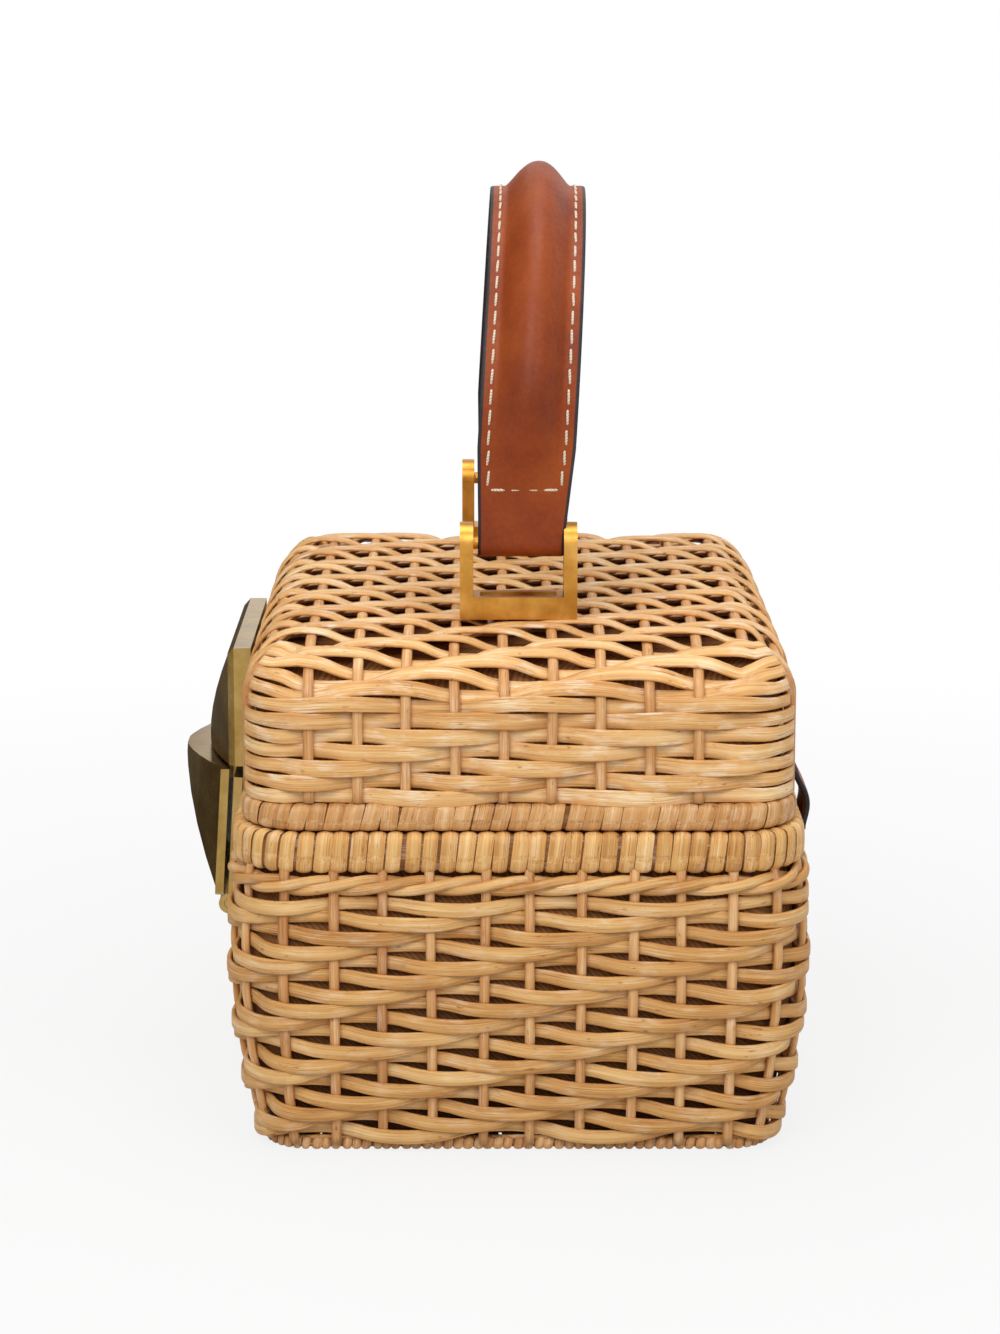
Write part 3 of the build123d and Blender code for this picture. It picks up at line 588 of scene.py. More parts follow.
def wound_bands(loop, low, high, wide, pitch, slant, gap_share, fullness=1.0, share=0.955):
    """Bands of cane wound side by side round a rim bar."""
    turns = int(loop.girth / pitch)
    pitch = loop.girth / turns
    tall = high - low
    middle = (low + high) / 2
    steps = 20
    angle = np.arange(steps) * 2 * math.pi / steps
    side = squared(np.cos(angle), 3.2) * wide / 2 - wide / 2
    rise = squared(np.sin(angle), 3.2) * tall / 2 + middle
    length = angle / (2 * math.pi) * 2 * (wide + tall)
    faces = [[a, d, c, b] for a, b, c, d in quads(len(BAND_CUTS), steps)]
    bands = []
    for k in range(turns):
        band = pitch * (share - (0.10 if rng.random() < gap_share else 0.0) + rng.normal() * 0.015)
        offset = k * pitch + rng.normal() * 0.12
        tilt = slant * (1 + rng.normal() * 0.18)
        own = np.full(steps, rng.random())
        rows, grains = [], []
        for cut, proud in zip(BAND_CUTS, BAND_CROWN * fullness):
            spot = offset + cut * band + tilt * (rise - middle) / tall
            out = side + proud * np.cos(angle)
            rows.append(loop.beside(spot, out, rise + proud * np.sin(angle))[0])
            grains.append(np.column_stack([length, np.full(steps, cut * band), own]))
        bands.append((np.concatenate(rows), faces, np.concatenate(grains)))
    return bands


def rim_bar(loop, low, high, wide, count=160, cover=0.9):
    """The bar inside the bands, thinner than the rim by what covers it."""
    spots = loop.spots(count) + loop.girth / 2
    points, outward = loop.beside(spots, -wide / 2, (low + high) / 2)
    return strand(points, outward, high - low - cover, wide - cover, closed=True, flat=3.4, sides=12)


def wrapped_rim(name, bar, winding, cane, body, replaces=()):
    piece(name + "_wraps", wound_bands(*bar, **winding), [cane], body, replaces)
    piece(name + "_bar", [rim_bar(*bar)], [core_cane], body)


print("bands of", len(BAND_CUTS), "rings each")

# %% Wrapped rims and foot
body_rim_wide = 5.4
body_rim = (body_loop, rim_low[2], rim_high[2], body_rim_wide)
body_winding = {"pitch": 4.15, "slant": 0.9, "gap_share": 0.2, "share": 0.92}
wrapped_rim("body_rim", body_rim, body_winding, wrap_cane, "basket", ["body_rim"])

foot_in = 6.8
foot_low = 0.2
foot_high = 3.2
foot_wide = 3.0
foot = (Loop(body_half - foot_in, body_corner - foot_in), foot_low, foot_high, foot_wide)
foot_winding = {"pitch": 2.4, "slant": 0.4, "gap_share": 0.5}
wrapped_rim("foot", foot, foot_winding, stake_cane, "basket")

lid_rim_wide = 4.6
lid_rim_half = lid_rim_high[:2]
lid_rim_corner = lid_corner + lid_rim_half[0] - lid_half[0]
lid_rim = (Loop(lid_rim_half, lid_rim_corner), lid_rim_low[2], lid_rim_high[2], lid_rim_wide)
lid_winding = {"pitch": 4.3, "slant": 1.3, "gap_share": 0.12, "fullness": 0.4, "share": 0.985}
wrapped_rim("lid_rim", lid_rim, lid_winding, rim_cane, "lid", ["lid_rim"])

# %% [markdown]
# ## The lid's weave
# On the lid the strands run across from front to back, bend over the shoulders and go
# down to the rim. At the two ends they lie level and turn round the corners. The stakes
# run the long way, over the top and down both ends. There the lid falls off more softly
# than at its sides, along a quarter of an ellipse.

# %% Shape of the lid
lid_top = lid_high[2]
lid_flat_x, lid_flat_y = lid_half - lid_shoulder
lid_wall_top = lid_top - lid_shoulder
lid_foot = lid_low[2] + 0.3
lid_strand_thick = 0.9
lid_stake_half = 0.95
lid_depth = lid_strand_thick + lid_stake_half
lid_push = lid_stake_half + lid_strand_thick / 2
end_long = 26.0
end_tall = 15.0
lid_end_flat = lid_half[0] - end_long
lid_end_wall = lid_top - end_tall
end_turn = np.linspace(0, math.pi / 2, 91)
end_curve = np.column_stack([end_long * np.sin(end_turn), end_tall * np.cos(end_turn)])
end_arc = run_along(end_curve)


def over_lid(reach):
    """Along one strand over the lid: sideways place, height, and the way out, at the crest."""
    bend = lid_shoulder * math.pi / 2
    past = np.abs(reach) - lid_flat_y
    turn = np.clip(past, 0, bend) / lid_shoulder
    down = np.clip(past - bend, 0, None)
    sideways = np.sign(reach) * (np.minimum(np.abs(reach), lid_flat_y) + lid_shoulder * np.sin(turn))
    height = lid_wall_top + lid_shoulder * np.cos(turn) - down
    return sideways, height, np.sign(reach) * np.sin(turn), np.cos(turn)


def end_drop(x):
    """How far the lid's top has fallen at a place along its length."""
    past = np.clip((np.abs(x) - lid_end_flat) / end_long, 0, 1)
    return end_tall * (1 - np.sqrt(1 - past**2))


def end_way(turn):
    """Angle of the way out from upright, at a turn of the ellipse."""
    return np.arctan2(np.sin(turn) / end_long, np.cos(turn) / end_tall)


def over_ends(reach):
    """Along one stake over the lid: place along, height, and the way out, at the crest."""
    past = np.abs(reach) - lid_end_flat
    turn = np.interp(past, end_arc, end_turn)
    down = np.clip(past - end_arc[-1], 0, None)
    along = np.sign(reach) * (np.minimum(np.abs(reach), lid_end_flat) + end_long * np.sin(turn))
    height = lid_end_wall + end_tall * np.cos(turn) - down
    way_out = end_way(turn)
    return along, height, np.sign(reach) * np.sin(way_out), np.cos(way_out)


print("lid top at", round(lid_top, 1), "mm, its ends fall off over", end_long, "mm")

# %% Strands over the lid
lid_stake_pitch = 11.3
lid_first_stake = -3.7
lid_row_wide = 4.9
lid_slide = 1.1
lid_flat = 6.0
top_rows = 28
shoulder_rows = 5
top_pitch = 2 * lid_flat_x / top_rows
top_x = (np.arange(top_rows)[::-1] + 0.5) * top_pitch - lid_flat_x
half_reach = lid_flat_y + lid_shoulder * math.pi / 2 + lid_wall_top - lid_foot
reach = np.linspace(-half_reach, half_reach, 140)
lid_stake_at = (reach - lid_first_stake) / lid_stake_pitch
sideways, height, out_y, out_z = over_lid(reach)
outward = np.column_stack([np.zeros(len(reach)), out_y, out_z])
lid_rows = []
for number, x in enumerate(top_x):
    row = -(shoulder_rows + 1) - number
    sway = twill(lid_stake_at, row)
    rise = -lid_depth + over_under(lid_stake_at, row) * lid_push
    points = np.column_stack([
        x - lid_slide * sway + wander(len(reach), 0.16, 8),
        sideways + out_y * rise,
        height + out_z * rise - end_drop(x),
    ])
    width = lid_row_wide + 0.25 * sway + wander(len(reach), 0.1, 12)
    lid_rows.append(strand(points, outward, width, lid_strand_thick, flat=lid_flat))
print("strands over the lid:", len(lid_rows))

# %% Strands round the lid's ends
face_rows = 6
face_top = 105.0
face_pitch = 3.6
face_wide = 3.8
shoulder_pitch = 3.8
shoulder_wide = 3.5
face_top_reach = lid_end_flat + end_arc[-1] + lid_end_wall - face_top
corner_turn = math.radians(80)
corner_x, corner_y = lid_half - lid_corner
hug_from = 4.0
hug_long = 8.0
tuck_from = 1.1
tuck_turn = 0.3
tuck_deep = 2.0
least_ring = 0.3
steepest = 0.98
end_count = 96
reach_end = np.linspace(-1, 1, end_count) * (corner_y + lid_corner * corner_turn)
stake_here = (reach_end - lid_first_stake) / lid_stake_pitch
hug = np.clip((np.abs(reach_end) - corner_y - hug_from) / hug_long, 0, 1)
turn = np.clip(np.abs(reach_end) - corner_y, 0, None) / lid_corner * np.sign(reach_end)
tuck = tuck_deep * np.clip((np.abs(turn) - tuck_from) / tuck_turn, 0, 1)
for end in (1, -1):
    for row in range(-shoulder_rows, face_rows + 1):
        on_shoulder = row < 1
        row_reach = face_top_reach + (row - 1) * (shoulder_pitch if on_shoulder else face_pitch)
        along, level, out_x, out_z = (float(v[0]) for v in over_ends(np.array([row_reach])))
        over = over_under(stake_here, row) * (1 - hug) + 0.85 * hug
        sway = twill(stake_here, row) * (1 - hug)
        rise = -lid_depth + over * lid_push - (tuck if on_shoulder else 0.0)
        side_up = min(max(0.0, (level - lid_wall_top) / lid_shoulder), steepest)
        side_out = math.sqrt(1 - side_up**2)
        slide = sway * (lid_slide * min(1.0, (2 - row) / 4) if row < 2 else -0.2)
        ring_x = np.maximum(along + rise * out_x - slide * out_z - corner_x, least_ring)
        ring_y = np.maximum(lid_flat_y + lid_shoulder * side_out + rise * side_out - corner_y, least_ring)
        up = out_z * np.cos(turn) ** 2 + side_up * np.sin(turn) ** 2
        points = np.column_stack([
            end * (corner_x + ring_x * np.cos(turn)),
            np.clip(reach_end, -corner_y, corner_y) + ring_y * np.sin(turn),
            level + rise * up + slide * out_x + wander(end_count, 0.12, 6),
        ])
        outward = np.column_stack([end * np.cos(turn) * out_x, np.sin(turn) * side_out, up])
        width = (shoulder_wide if on_shoulder else face_wide) * (1 - 0.22 * hug) + 0.15 * sway
        width = width + wander(end_count, 0.08, 8)
        lid_rows.append(strand(points, outward, width, lid_strand_thick, flat=lid_flat))
piece("lid_weave", lid_rows, [lid_cane], "lid", ["lid_basket"])

# %% Stakes of the lid
lid_stake_wide = 2.5
lid_stakes = []
long_half = lid_end_flat + end_arc[-1] + lid_end_wall - lid_foot
long_reach = np.linspace(-long_half, long_half, 90)
side_x = np.linspace(-lid_flat_x, lid_flat_x, 40)
for y in lid_first_stake + np.arange(-10, 10) * lid_stake_pitch:
    if abs(y) < lid_flat_y - 1.0:
        along, height, out_x, out_z = over_ends(long_reach)
        points = np.column_stack([
            along - out_x * lid_depth,
            y + wander(len(long_reach), 0.15, 4),
            height - out_z * lid_depth,
        ])
        outward = np.column_stack([out_x, np.zeros(len(long_reach)), out_z])
    elif abs(y) < half_reach - 2.0:
        sideways, height, out_y, out_z = (float(v[0]) for v in over_lid(np.array([y])))
        points = np.column_stack([
            side_x,
            np.full(len(side_x), sideways - out_y * lid_depth),
            height - out_z * lid_depth - end_drop(side_x),
        ])
        outward = np.tile([0.0, out_y, out_z], (len(side_x), 1))
    else:
        continue
    lid_stakes.append(strand(points, outward, lid_stake_wide, 2 * lid_stake_half, flat=3.0))
print("stakes over the lid:", len(lid_stakes))

# %% Corner stakes of the lid
corner_stake_wide = 3.4
corner_stake_thick = 2.8
corner_stake_in = 1.4
corner_dive = 2.2
corner_climb = 0.95
corner_way = math.radians(84)
climb = np.concatenate([np.zeros(8), np.linspace(0, corner_climb, 10)])
level = np.concatenate([
    np.linspace(lid_foot, lid_wall_top, 8), lid_wall_top + lid_shoulder * np.sin(climb[8:]),
])
dive = corner_dive * (climb / corner_climb) ** 2
ring = lid_corner - lid_shoulder + lid_shoulder * np.cos(climb) - corner_stake_in - dive
for end in (1, -1):
    for side in (1, -1):
        out_x, out_y = end * math.cos(corner_way), side * math.sin(corner_way)
        points = np.column_stack([
            end * corner_x + ring * out_x, side * corner_y + ring * out_y, level - climb - dive,
        ])
        outward = np.column_stack([out_x * np.cos(climb), out_y * np.cos(climb), np.sin(climb)])
        lid_stakes.append(strand(points, outward, corner_stake_wide, corner_stake_thick, flat=2.0))
piece("lid_stakes", lid_stakes, [stake_cane], "lid")

# %% Lining of the lid
# The cloth keeps one distance from the strands, so at the ends it follows a curve beside theirs.
lid_lining_points = 160
shrink = 2 * lid_strand_thick + 2 * lid_stake_half + 0.15
end_room = 0.6
least_corner = 0.6
wall_steps = 4
lining_foot = 2.0
crest_in = 1.0
crest_corner = 4.0
ways_out = np.column_stack([np.sin(end_way(end_turn)), np.cos(end_way(end_turn))])
lining_curve = end_curve - (shrink + end_room) * ways_out


def lining_loop(half, corner):
    loop = Loop(half, corner)
    return loop.at(loop.spots(lid_lining_points))[0]


lid_lining_rings = []
for step, climb in enumerate(np.concatenate([np.zeros(wall_steps), np.linspace(0, math.pi / 2, 9)])):
    if step < wall_steps:
        level = lid_low[2] - lining_foot + (lid_wall_top - lid_low[2] + lining_foot) * step / wall_steps
    else:
        level = lid_wall_top + (lid_shoulder - shrink) * math.sin(climb)
    inset = shrink + (lid_shoulder - shrink) * (1 - math.cos(climb))
    place = lining_loop(lid_half - inset, max(lid_corner - inset, least_corner))
    past = np.abs(place[:, 0]) - lid_end_flat
    under = lid_end_wall + np.interp(past, lining_curve[:, 0], lining_curve[:, 1])
    lid_lining_rings.append(np.column_stack([place, np.minimum(level, under)]))
place = lining_loop(np.array([lid_end_flat, lid_flat_y]) - crest_in, crest_corner)
lid_lining_rings.append(np.column_stack([place, np.full(lid_lining_points, lid_top - shrink)]))
piece("lid_lining", [capped_sheet(lid_lining_rings)], [cloth.made], "lid")

# %% [markdown]
# ## Leather
# The handle is smooth tan calf with a fine pebble. Its cut edges are painted dark. Fine
# cells and a soft noise make the pebble, and a slow noise makes the lighter and darker
# places that handling leaves.

# %% Leather, edge paint and thread


def leather_finish(name, dark, middle, light):
    leather = Finish(name)
    place = leather.place()
    cells = leather.add("ShaderNodeTexVoronoi", Vector=place, Scale=1500.0)
    pebble = leather.noise(place, 900.0, 3.0, 0.6)
    slow = leather.noise(place, 55.0, 3.0, 0.5)
    tone = leather.weighed(slow, 0.8, pebble, 0.22)
    leather.paint("Base Color", leather.ramp(tone, [(0.36, dark), (0.51, middle), (0.66, light)]))
    leather.paint("Roughness", leather.ramp(pebble, [(0.3, grey(0.56)), (0.7, grey(0.44))]))
    leather.paint("Specular IOR Level", 0.28)
    leather.bump(leather.weighed(cells.outputs["Distance"], 0.8, pebble, 0.6), 0.2, 0.00015)
    return leather.made


tan_leather = leather_finish("tan_leather", srgb(118, 44, 6), srgb(136, 56, 10), srgb(150, 68, 18))
lining_leather = leather_finish("lining_leather", srgb(112, 48, 14), srgb(130, 58, 22), srgb(146, 72, 32))
edge_paint = leather_finish("edge_paint", srgb(30, 24, 26), srgb(42, 35, 38), srgb(58, 48, 50))
thread = Finish("waxed_thread")
thread_along, thread_across, _ = thread.grain()
ply = thread.math("SINE", thread.weighed(thread_along, 9.0, thread_across, 6.0))
thread.paint("Base Color", thread.ramp(ply, [(0.0, srgb(206, 186, 158)), (1.0, srgb(240, 228, 208))]))
thread.paint("Roughness", 0.6)
thread.bump(ply, 0.5, 0.0001)
print("leather finishes made")

# %% [markdown]
# ## The handle
# Two straps are sewn together along both edges. Between them lies a cord of foam, so
# the outer strap bulges into a roll. The section is drawn once, and swept from the loop
# round one pin, over the arch, to the loop round the other. The roll fades out near the ends.

# %% Path of the handle
cover_low, cover_high = span("handle_cover")
lining_high = span("handle_lining")[1]
pin_low, pin_high = span("handle_pin_near")
pin_x = (pin_low[0] + pin_high[0]) / 2
pin_z = (pin_low[2] + pin_high[2]) / 2
leather_thick = 1.7
strap_radius = lining_high[0]
arch_z = lining_high[2] - strap_radius
loop_radius = strap_radius - pin_x
roll_tall = cover_high[2] - lining_high[2] - leather_thick
roll_half = 8.0
roll_fade_low = 9.0
roll_fade_long = 28.0
strap_half = (cover_high[1] - cover_low[1]) / 2
strap_end_half = strap_half - 1.4
taper_low = 1.5
taper_long = 21.3
handle_lean = math.tan(math.radians(3.2))
lean_foot = 0.6


def arc(x, z, radius, turns):
    """Stations on a round stretch: place and way out in the XZ plane."""
    return [(x + radius * math.cos(t), z + radius * math.sin(t), math.cos(t), math.sin(t)) for t in turns]


def handle_path(tail, loop):
    """Stations along the inner face of the cover, from one end to the other."""
    stations = []
    if loop:
        for z in np.linspace(pin_z + tail, pin_z, 5)[:-1]:
            stations.append((pin_x - loop_radius, z, -1.0, 0.0))
        stations += arc(pin_x, pin_z, loop_radius, np.linspace(math.pi, 2 * math.pi, 13)[:-1])
    for z in np.linspace(pin_z if loop else pin_z + tail, arch_z, 26)[:-1]:
        stations.append((strap_radius, z, 1.0, 0.0))
    stations = np.array(stations + arc(0, arch_z, strap_radius, np.linspace(0, math.pi / 2, 40)))
    other = stations[-2::-1] * np.array([-1, 1, -1, 1])
    return np.concatenate([stations, other])


def strap_width(z):
    """Half width of the strap at a height: it narrows towards the pins."""
    share = np.clip((z - pin_z - taper_low) / taper_long, 0, 1)
    return strap_end_half + (strap_half - strap_end_half) * share


def roll_height(run):
    """Height of the roll at a distance along the strap from the pin."""
    share = np.clip((run - roll_fade_low) / roll_fade_long, 0, 1)
    return roll_tall * share * share * (3 - 2 * share)


def bell(y):
    """Share of the roll's height at a place across the strap."""
    share = np.clip(np.abs(y) / roll_half, 0, 1)
    return (1 - share ** 2.1) ** 1.35


def lean_back(verts):
    """The slack handle leans to the back, more so the higher a point lies."""
    verts[:, 1] += handle_lean * np.clip(verts[:, 2] - pin_z, 0, None) + lean_foot


print("arch centre", round(arch_z, 1), "radius", round(strap_radius, 1), "roll", round(roll_tall, 1))

# %% Cover and lining
edge_from = 0.93
edge_long = 0.07
edge_round = 0.3
edge_bevel = 0.25


def strap_mesh(path, low, high, with_roll):
    """Closed section swept along the handle, and which faces are cut edges."""
    inner = np.linspace(-1, 1, 9)[1:-1]
    upper = np.concatenate([[-0.999, -0.975], np.linspace(-edge_from, edge_from, 31), [0.975, 0.999]])
    round_off = np.clip((np.abs(upper) - edge_from) / edge_long, 0, 1) ** 2 * edge_round
    verts = []
    for x, z, out_x, out_z in path:
        half = strap_width(np.array(z)) if out_z <= 0.001 else strap_half
        turned = math.atan2(out_z, abs(out_x)) if z > arch_z else 0.0
        run = min(z, arch_z) - pin_z + strap_radius * turned
        roll = float(roll_height(run)) if with_roll and out_x * x >= 0 else 0.0
        top = high - round_off + roll * bell(upper * half)
        section = [(-half, low + edge_bevel), *zip(upper * half, top), (half, low + edge_bevel)]
        section += [(y, low) for y in inner[::-1] * half]
        verts += [(x + out_x * h, y, z + out_z * h) for y, h in section]
    ring = len(section)
    top_count = len(upper)
    edge_sides = {0, 1, 2, top_count - 2, top_count - 1, top_count, top_count + 1, ring - 1}
    faces = quads(len(path), ring)
    kinds = [1 if k % ring in edge_sides else 0 for k in range(len(faces))] + [1, 1]
    faces.append(list(range(ring))[::-1])
    faces.append(list(range((len(path) - 1) * ring, len(path) * ring)))
    verts = np.array(verts)
    lean_back(verts)
    return (verts, faces, np.zeros_like(verts)), kinds


cover_tail = 6.0
lining_tail = 4.8
lining_gap = 0.05
cover, cut_edges = strap_mesh(handle_path(cover_tail, True), 0.0, leather_thick, True)
cover_solids = ["handle_cover", "handle_core"]
leathers = [tan_leather, edge_paint]
handle_cover = piece("handle_leather", [cover], leathers, "lid", cover_solids, cut_edges)
inner, cut_edges = strap_mesh(handle_path(lining_tail, False), -leather_thick, -lining_gap, False)
leathers = [lining_leather, edge_paint]
piece("handle_inner_leather", [inner], leathers, "lid", ["handle_lining"], cut_edges)

# %% [markdown]
# ## Stitches
# A saddle stitch in pale waxed thread runs along both edges and across each end. Each
# stitch is a small rounded bar, thinner at its ends, where it dives into its hole.

# %% Sew the handle
stitch_pitch = 4.8
stitch_long = 4.3
stitch_wide = 0.72
stitch_deep = 0.55
stitch_proud = 0.12
stitch_in = 2.5
cross_pitch = 4.1
cross_down = 0.4
sewn_low = pin_z + 13.6


def stitch(centre, way_along, outward):
    step = np.linspace(-0.5, 0.5, 7)
    sink = -stitch_deep * np.abs(2 * step) ** 4
    points = centre + np.outer(step * stitch_long, way_along) + np.outer(sink, outward)
    width = stitch_wide * (1 - 0.5 * np.abs(2 * step) ** 3)
    return strand(points, np.tile(outward, (7, 1)), width, width * 0.8, sides=6, flat=2.0)


def along_handle(distance, radius):
    """Place, way along and way out at a distance from the top of the arch, on one face."""
    half_turn = radius * math.pi / 2
    side = math.copysign(1.0, distance)
    rest = abs(distance)
    if rest > half_turn:
        place = np.array([side * radius, 0, arch_z - (rest - half_turn)])
        return place, np.array([0, 0, -1.0]), np.array([side, 0, 0.0])
    sine, cosine = math.sin(rest / radius), math.cos(rest / radius)
    place = np.array([side * radius * sine, 0, arch_z + radius * cosine])
    return place, np.array([side * cosine, 0, -sine]), np.array([side * sine, 0, cosine])


stitches = []
for face in (1, -1):
    radius = strap_radius + face * (leather_thick + stitch_proud)
    half_turn = radius * math.pi / 2
    run = half_turn + arch_z - sewn_low
    count = int(2 * run / stitch_pitch)
    for distance in (np.arange(count) - (count - 1) / 2) * (2 * run / count):
        place, forward, out = along_handle(distance, radius)
        edge = (strap_width(place[2]) if abs(distance) > half_turn else strap_half) - stitch_in
        for side in (1, -1):
            slant = forward + np.array([0, 0.05 * side + rng.normal() * 0.02, 0])
            stitches.append(stitch(place + np.array([0, side * edge, 0]), unit(slant), out * face))
    for end in (1, -1):
        place, _, out = along_handle(end * (run + cross_down), radius)
        for y in (np.arange(4) - 1.5) * cross_pitch:
            stitches.append(stitch(place + np.array([0, y, 0]), np.array([0, 1.0, 0]), out * face))
for verts, _, _ in stitches:
    lean_back(verts)
piece("handle_stitches", stitches, [thread.made], "lid")

# %% [markdown]
# ## Hinge straps
# Two short leather straps at the back let the lid turn. Each one is glued to both
# rims and bends at the seam. It is built in place and rides on neither body.

# %% Hinge straps at the back
hinge_thick = 1.6
glue = 0.25
edge_share = 0.93
share = np.linspace(0, 1, 17)
foot_y = body_half[1] + glue
head_y = lid_rim_half[1] + glue
for name in ("near", "far"):
    low, high = span("hinge_strap_" + name)
    middle_x = (low[0] + high[0]) / 2
    half = (high[0] - low[0]) / 2
    z = low[2] + (high[2] - low[2]) * share
    bulge = (high[1] - hinge_thick) - (foot_y + head_y) / 2
    y = foot_y + (head_y - foot_y) * share + bulge * np.sin(math.pi * share) ** 1.5
    points = np.column_stack([np.full(len(share), middle_x), y + hinge_thick / 2, z])
    outward = unit(np.column_stack([np.zeros(len(share)), np.ones(len(share)), -np.gradient(y, z)]))
    mesh = strand(points, outward, 2 * half, hinge_thick, sides=16, flat=7.0)
    kinds = []
    for face in mesh[1]:
        from_middle = abs(mesh[0][face].mean(0)[0] - middle_x)
        kinds.append(1 if from_middle > half * edge_share or len(face) > 4 else 0)
    solids = ["hinge_strap_" + name]
    strap = piece("hinge_leather_" + name, [mesh], [tan_leather, edge_paint], None, solids, kinds)
    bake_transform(strap)

# %% [markdown]
# ## Brass and steel
# The brackets and the clasp are cast, so their solids stay as they are. A small bevel
# catches the light along their edges. Slow noise in the roughness makes the fingerprints
# and a fine stretched noise the brushing.

# %% Metal and foam finishes


def metal_finish(name, dark, middle, light, shine, brush):
    metal = Finish(name)
    place = metal.place()
    stretch = metal.add("ShaderNodeMapping", Vector=place, Scale=brush)
    smudge = metal.noise(place, 90.0, 4.0, 0.6)
    brushing = metal.noise(stretch.outputs[0], 1.0, 3.0, 0.6)
    metal.paint("Base Color", metal.ramp(smudge, [(0.34, dark), (0.5, middle), (0.68, light)]))
    metal.paint("Metallic", 1.0)
    rough = metal.weighed(smudge, 0.22, brushing, 0.14)
    metal.paint("Roughness", metal.math("ADD", rough, shine - 0.18))
    metal.bump(brushing, 0.06, 0.00006)
    return metal.made


bracket_brass = metal_finish(
    "bracket_brass", srgb(178, 120, 46), srgb(202, 146, 66), srgb(222, 170, 90), 0.34, (300, 2600, 300)
)
clasp_brass = metal_finish(
    "clasp_brass", srgb(150, 118, 58), srgb(174, 142, 80), srgb(192, 164, 104), 0.24, (2200, 300, 300)
)
plain_steel = metal_finish(
    "plain_steel", srgb(150, 150, 152), srgb(176, 176, 178), srgb(200, 200, 202), 0.32, (1500, 1500, 400)
)
foam = Finish("handle_foam")
foam_cells = foam.noise(foam.place(), 1400.0, 2.0)
foam.paint("Base Color", foam.ramp(foam_cells, [(0.3, srgb(196, 190, 176)), (0.7, srgb(226, 222, 210))]))
foam.paint("Roughness", 0.9)
print("metal and foam finishes made")

# %% Finishes on the solids
brackets = ["handle_bracket_near", "handle_bracket_far"]
clasp = ["lid_clasp_plate", "body_clasp_plate", "latch_flap"]
node_finish = {"handle_core": foam.made}
for node in brackets + ["handle_pin_near", "handle_pin_far"]:
    node_finish[node] = bracket_brass
for node in clasp + ["latch_pin"]:
    node_finish[node] = clasp_brass
for node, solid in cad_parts.items():
    for slot in solid.material_slots:
        slot.material = node_finish.get(node, plain_steel)
    if node in brackets + clasp:
        bevel = solid.modifiers.new("soft_edges", "BEVEL")
        bevel.width = 0.45 * MM
        bevel.segments = 3
        bevel.limit_method = "ANGLE"
        bevel.angle_limit = math.radians(20)
        bevel.harden_normals = True
print("metal finishes on", len(node_finish) - 1, "brass solids")

# %% [markdown]
# ## Stage, light and camera
# A pale floor runs on into a white background. Three large soft lamps light the bag from
# above and from both sides. The camera looks along the bag from its near end. A dark card
# beside the clasp shows only in the metal, which would look flat with nothing to mirror.

# %% Floor


def flat_sheet(name, corners):
    """A sheet with four corners, for the stage."""
    mesh = bpy.data.meshes.new(name)
    mesh.from_pydata(corners, [], [(0, 1, 2, 3)])
    made = bpy.data.objects.new(name, mesh)
    bpy.context.scene.collection.objects.link(made)
    return made


def seen_directly(net):
    """1 for what the camera sees, straight or by way of metal and glass, and 0 for other rays."""
    rays = net.add("ShaderNodeLightPath").outputs
    mirrored = net.math("MAXIMUM", rays["Is Glossy Ray"], rays["Is Transmission Ray"])
    return net.math("MAXIMUM", rays["Is Camera Ray"], mirrored)


floor_half = 40.0
floor = flat_sheet("floor", [
    (-floor_half, -floor_half, 0), (floor_half, -floor_half, 0),
    (floor_half, floor_half, 0), (-floor_half, floor_half, 0),
])
paper = Finish("paper_floor")
paper_place = paper.place()
paper_tone = paper.noise(paper_place, 3.0, 2.0)
paper.paint("Base Color", paper.ramp(paper_tone, [(0.3, srgb(196, 195, 194)), (0.7, srgb(204, 204, 203))]))
paper.paint("Roughness", 0.9)
paper.paint("Specular IOR Level", 0.1)
glow = paper.add("ShaderNodeEmission", Strength=1.0)
away = paper.add("ShaderNodeVectorMath", paper_place, operation="LENGTH")
whiter = paper.ramp(away.outputs["Value"], [(0.12, grey(0.84)), (0.5, WHITE)])
glow_share = paper.times(seen_directly(paper), whiter)
dull = paper.nodes["Principled BSDF"]
mixed = paper.add("ShaderNodeMixShader", glow_share, dull.outputs[0], glow.outputs[0])
paper.show("Material Output", mixed)
floor.data.materials.append(paper.made)
print("floor ready")

# %% Background
sky = Finish("studio", bpy.data.worlds)
bpy.context.scene.world = sky.made
soft = sky.nodes["Background"]
sky.feed(soft.inputs["Color"], (1.0, 0.985, 0.965, 1))
sky.feed(soft.inputs["Strength"], 0.36)
white = sky.add("ShaderNodeBackground", WHITE, 1.0)
mixed = sky.add("ShaderNodeMixShader", seen_directly(sky), soft.outputs[0], white.outputs[0])
sky.show("World Output", mixed)
print("background ready")

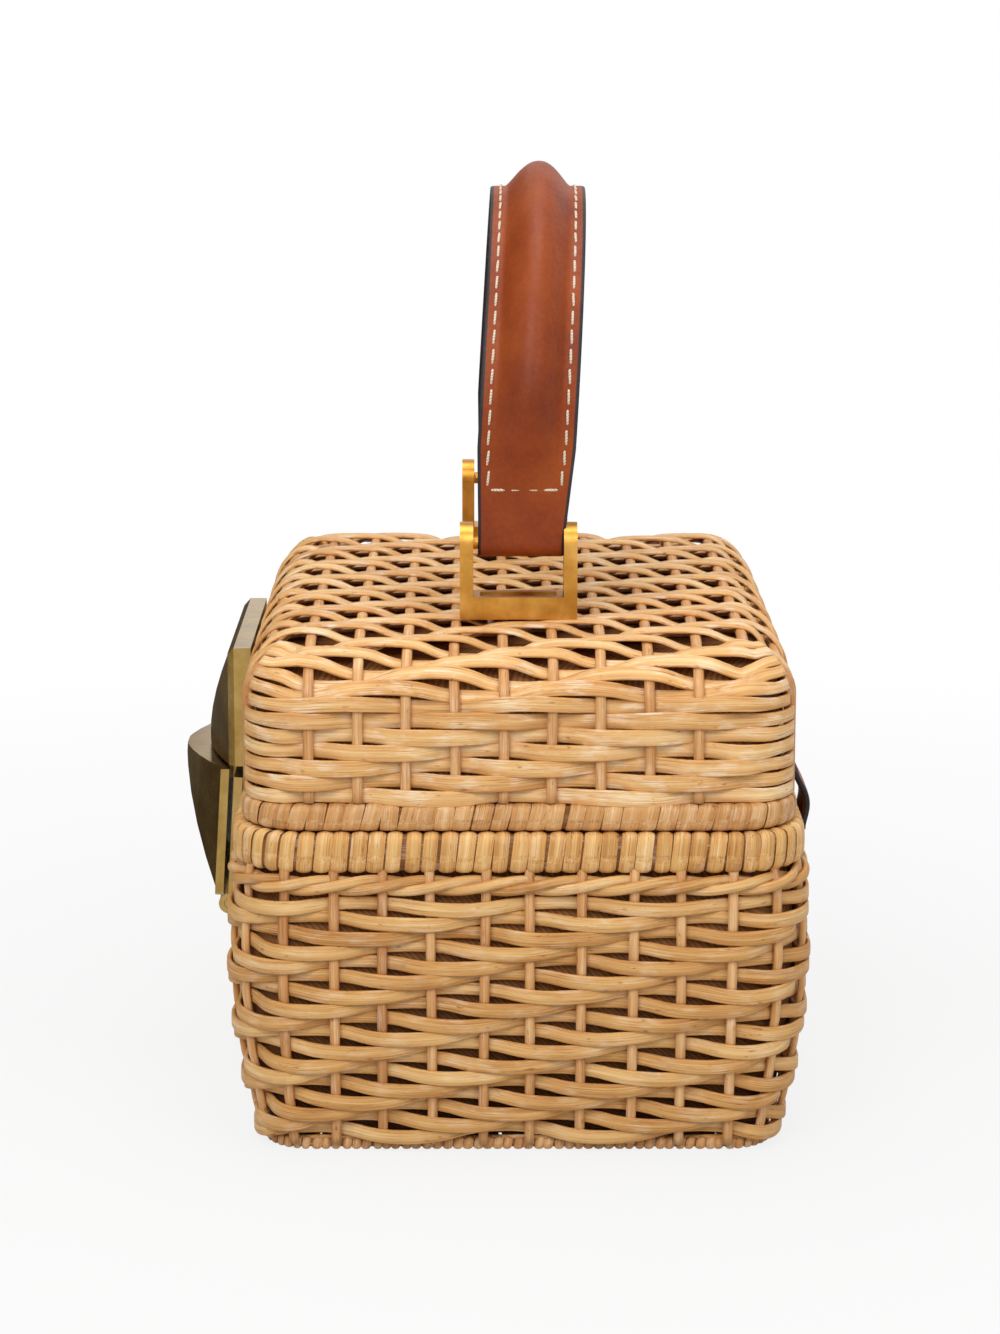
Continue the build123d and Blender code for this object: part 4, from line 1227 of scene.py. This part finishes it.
# %% Dark card for the metal
card_y = -0.15
card_far = -0.8
card_near = 0.03
card_low = 0.002
card_high = 0.4
card = flat_sheet("dark_card", [
    (card_far, card_y, card_low), (card_near, card_y, card_low),
    (card_near, card_y, card_high), (card_far, card_y, card_high),
])
card.visible_camera = False
card.visible_diffuse = False
card.visible_shadow = False
felt = Finish("dark_felt")
felt_tone = felt.noise(felt.place(), 9.0)
felt_colour = felt.ramp(felt_tone, [(0.35, srgb(58, 52, 44)), (0.65, srgb(122, 114, 100))])
felt.show("Material Output", felt.add("ShaderNodeEmission", felt_colour))
card.data.materials.append(felt.made)
print("dark card beside the clasp")

# %% Lamps


def soft_lamp(name, place, size, power, aim=(0, 0, 0.1)):
    """A square lamp at a place, turned towards the bag."""
    lamp = bpy.data.lights.new(name, "AREA")
    lamp.shape = "RECTANGLE"
    lamp.size = lamp.size_y = size
    lamp.energy = power
    holder = bpy.data.objects.new(name, lamp)
    holder.location = place
    holder.rotation_euler = (Vector(aim) - Vector(place)).to_track_quat("-Z", "Y").to_euler()
    bpy.context.scene.collection.objects.link(holder)


soft_lamp("key", (1.3, -0.5, 1.2), 0.9, 14.5)
soft_lamp("fill", (1.2, 0.9, 1.0), 0.9, 6.5)
soft_lamp("top", (0.0, 0.0, 1.6), 1.0, 11.0)
print("lamps set")

# %% Camera
image_height = 1334
focal_pixels = 3614.5
shift_pixels = 16.7
sensor = 36.0
look_down = math.radians(11.54)
camera_data = bpy.data.cameras.new("photo_camera")
camera_data.sensor_width = sensor
camera_data.sensor_fit = "AUTO"
camera_data.lens = focal_pixels / image_height * sensor
camera_data.shift_x = shift_pixels / image_height
camera = bpy.data.objects.new("photo_camera", camera_data)
camera.location = (0.9038, -0.0084, 0.2844)
camera.rotation_euler = Euler((math.pi / 2 - look_down, 0, math.pi / 2))
bpy.context.scene.collection.objects.link(camera)
bpy.context.scene.camera = camera
bpy.context.scene.view_settings.view_transform = "Standard"
print("camera lens", round(camera_data.lens, 1), "mm")
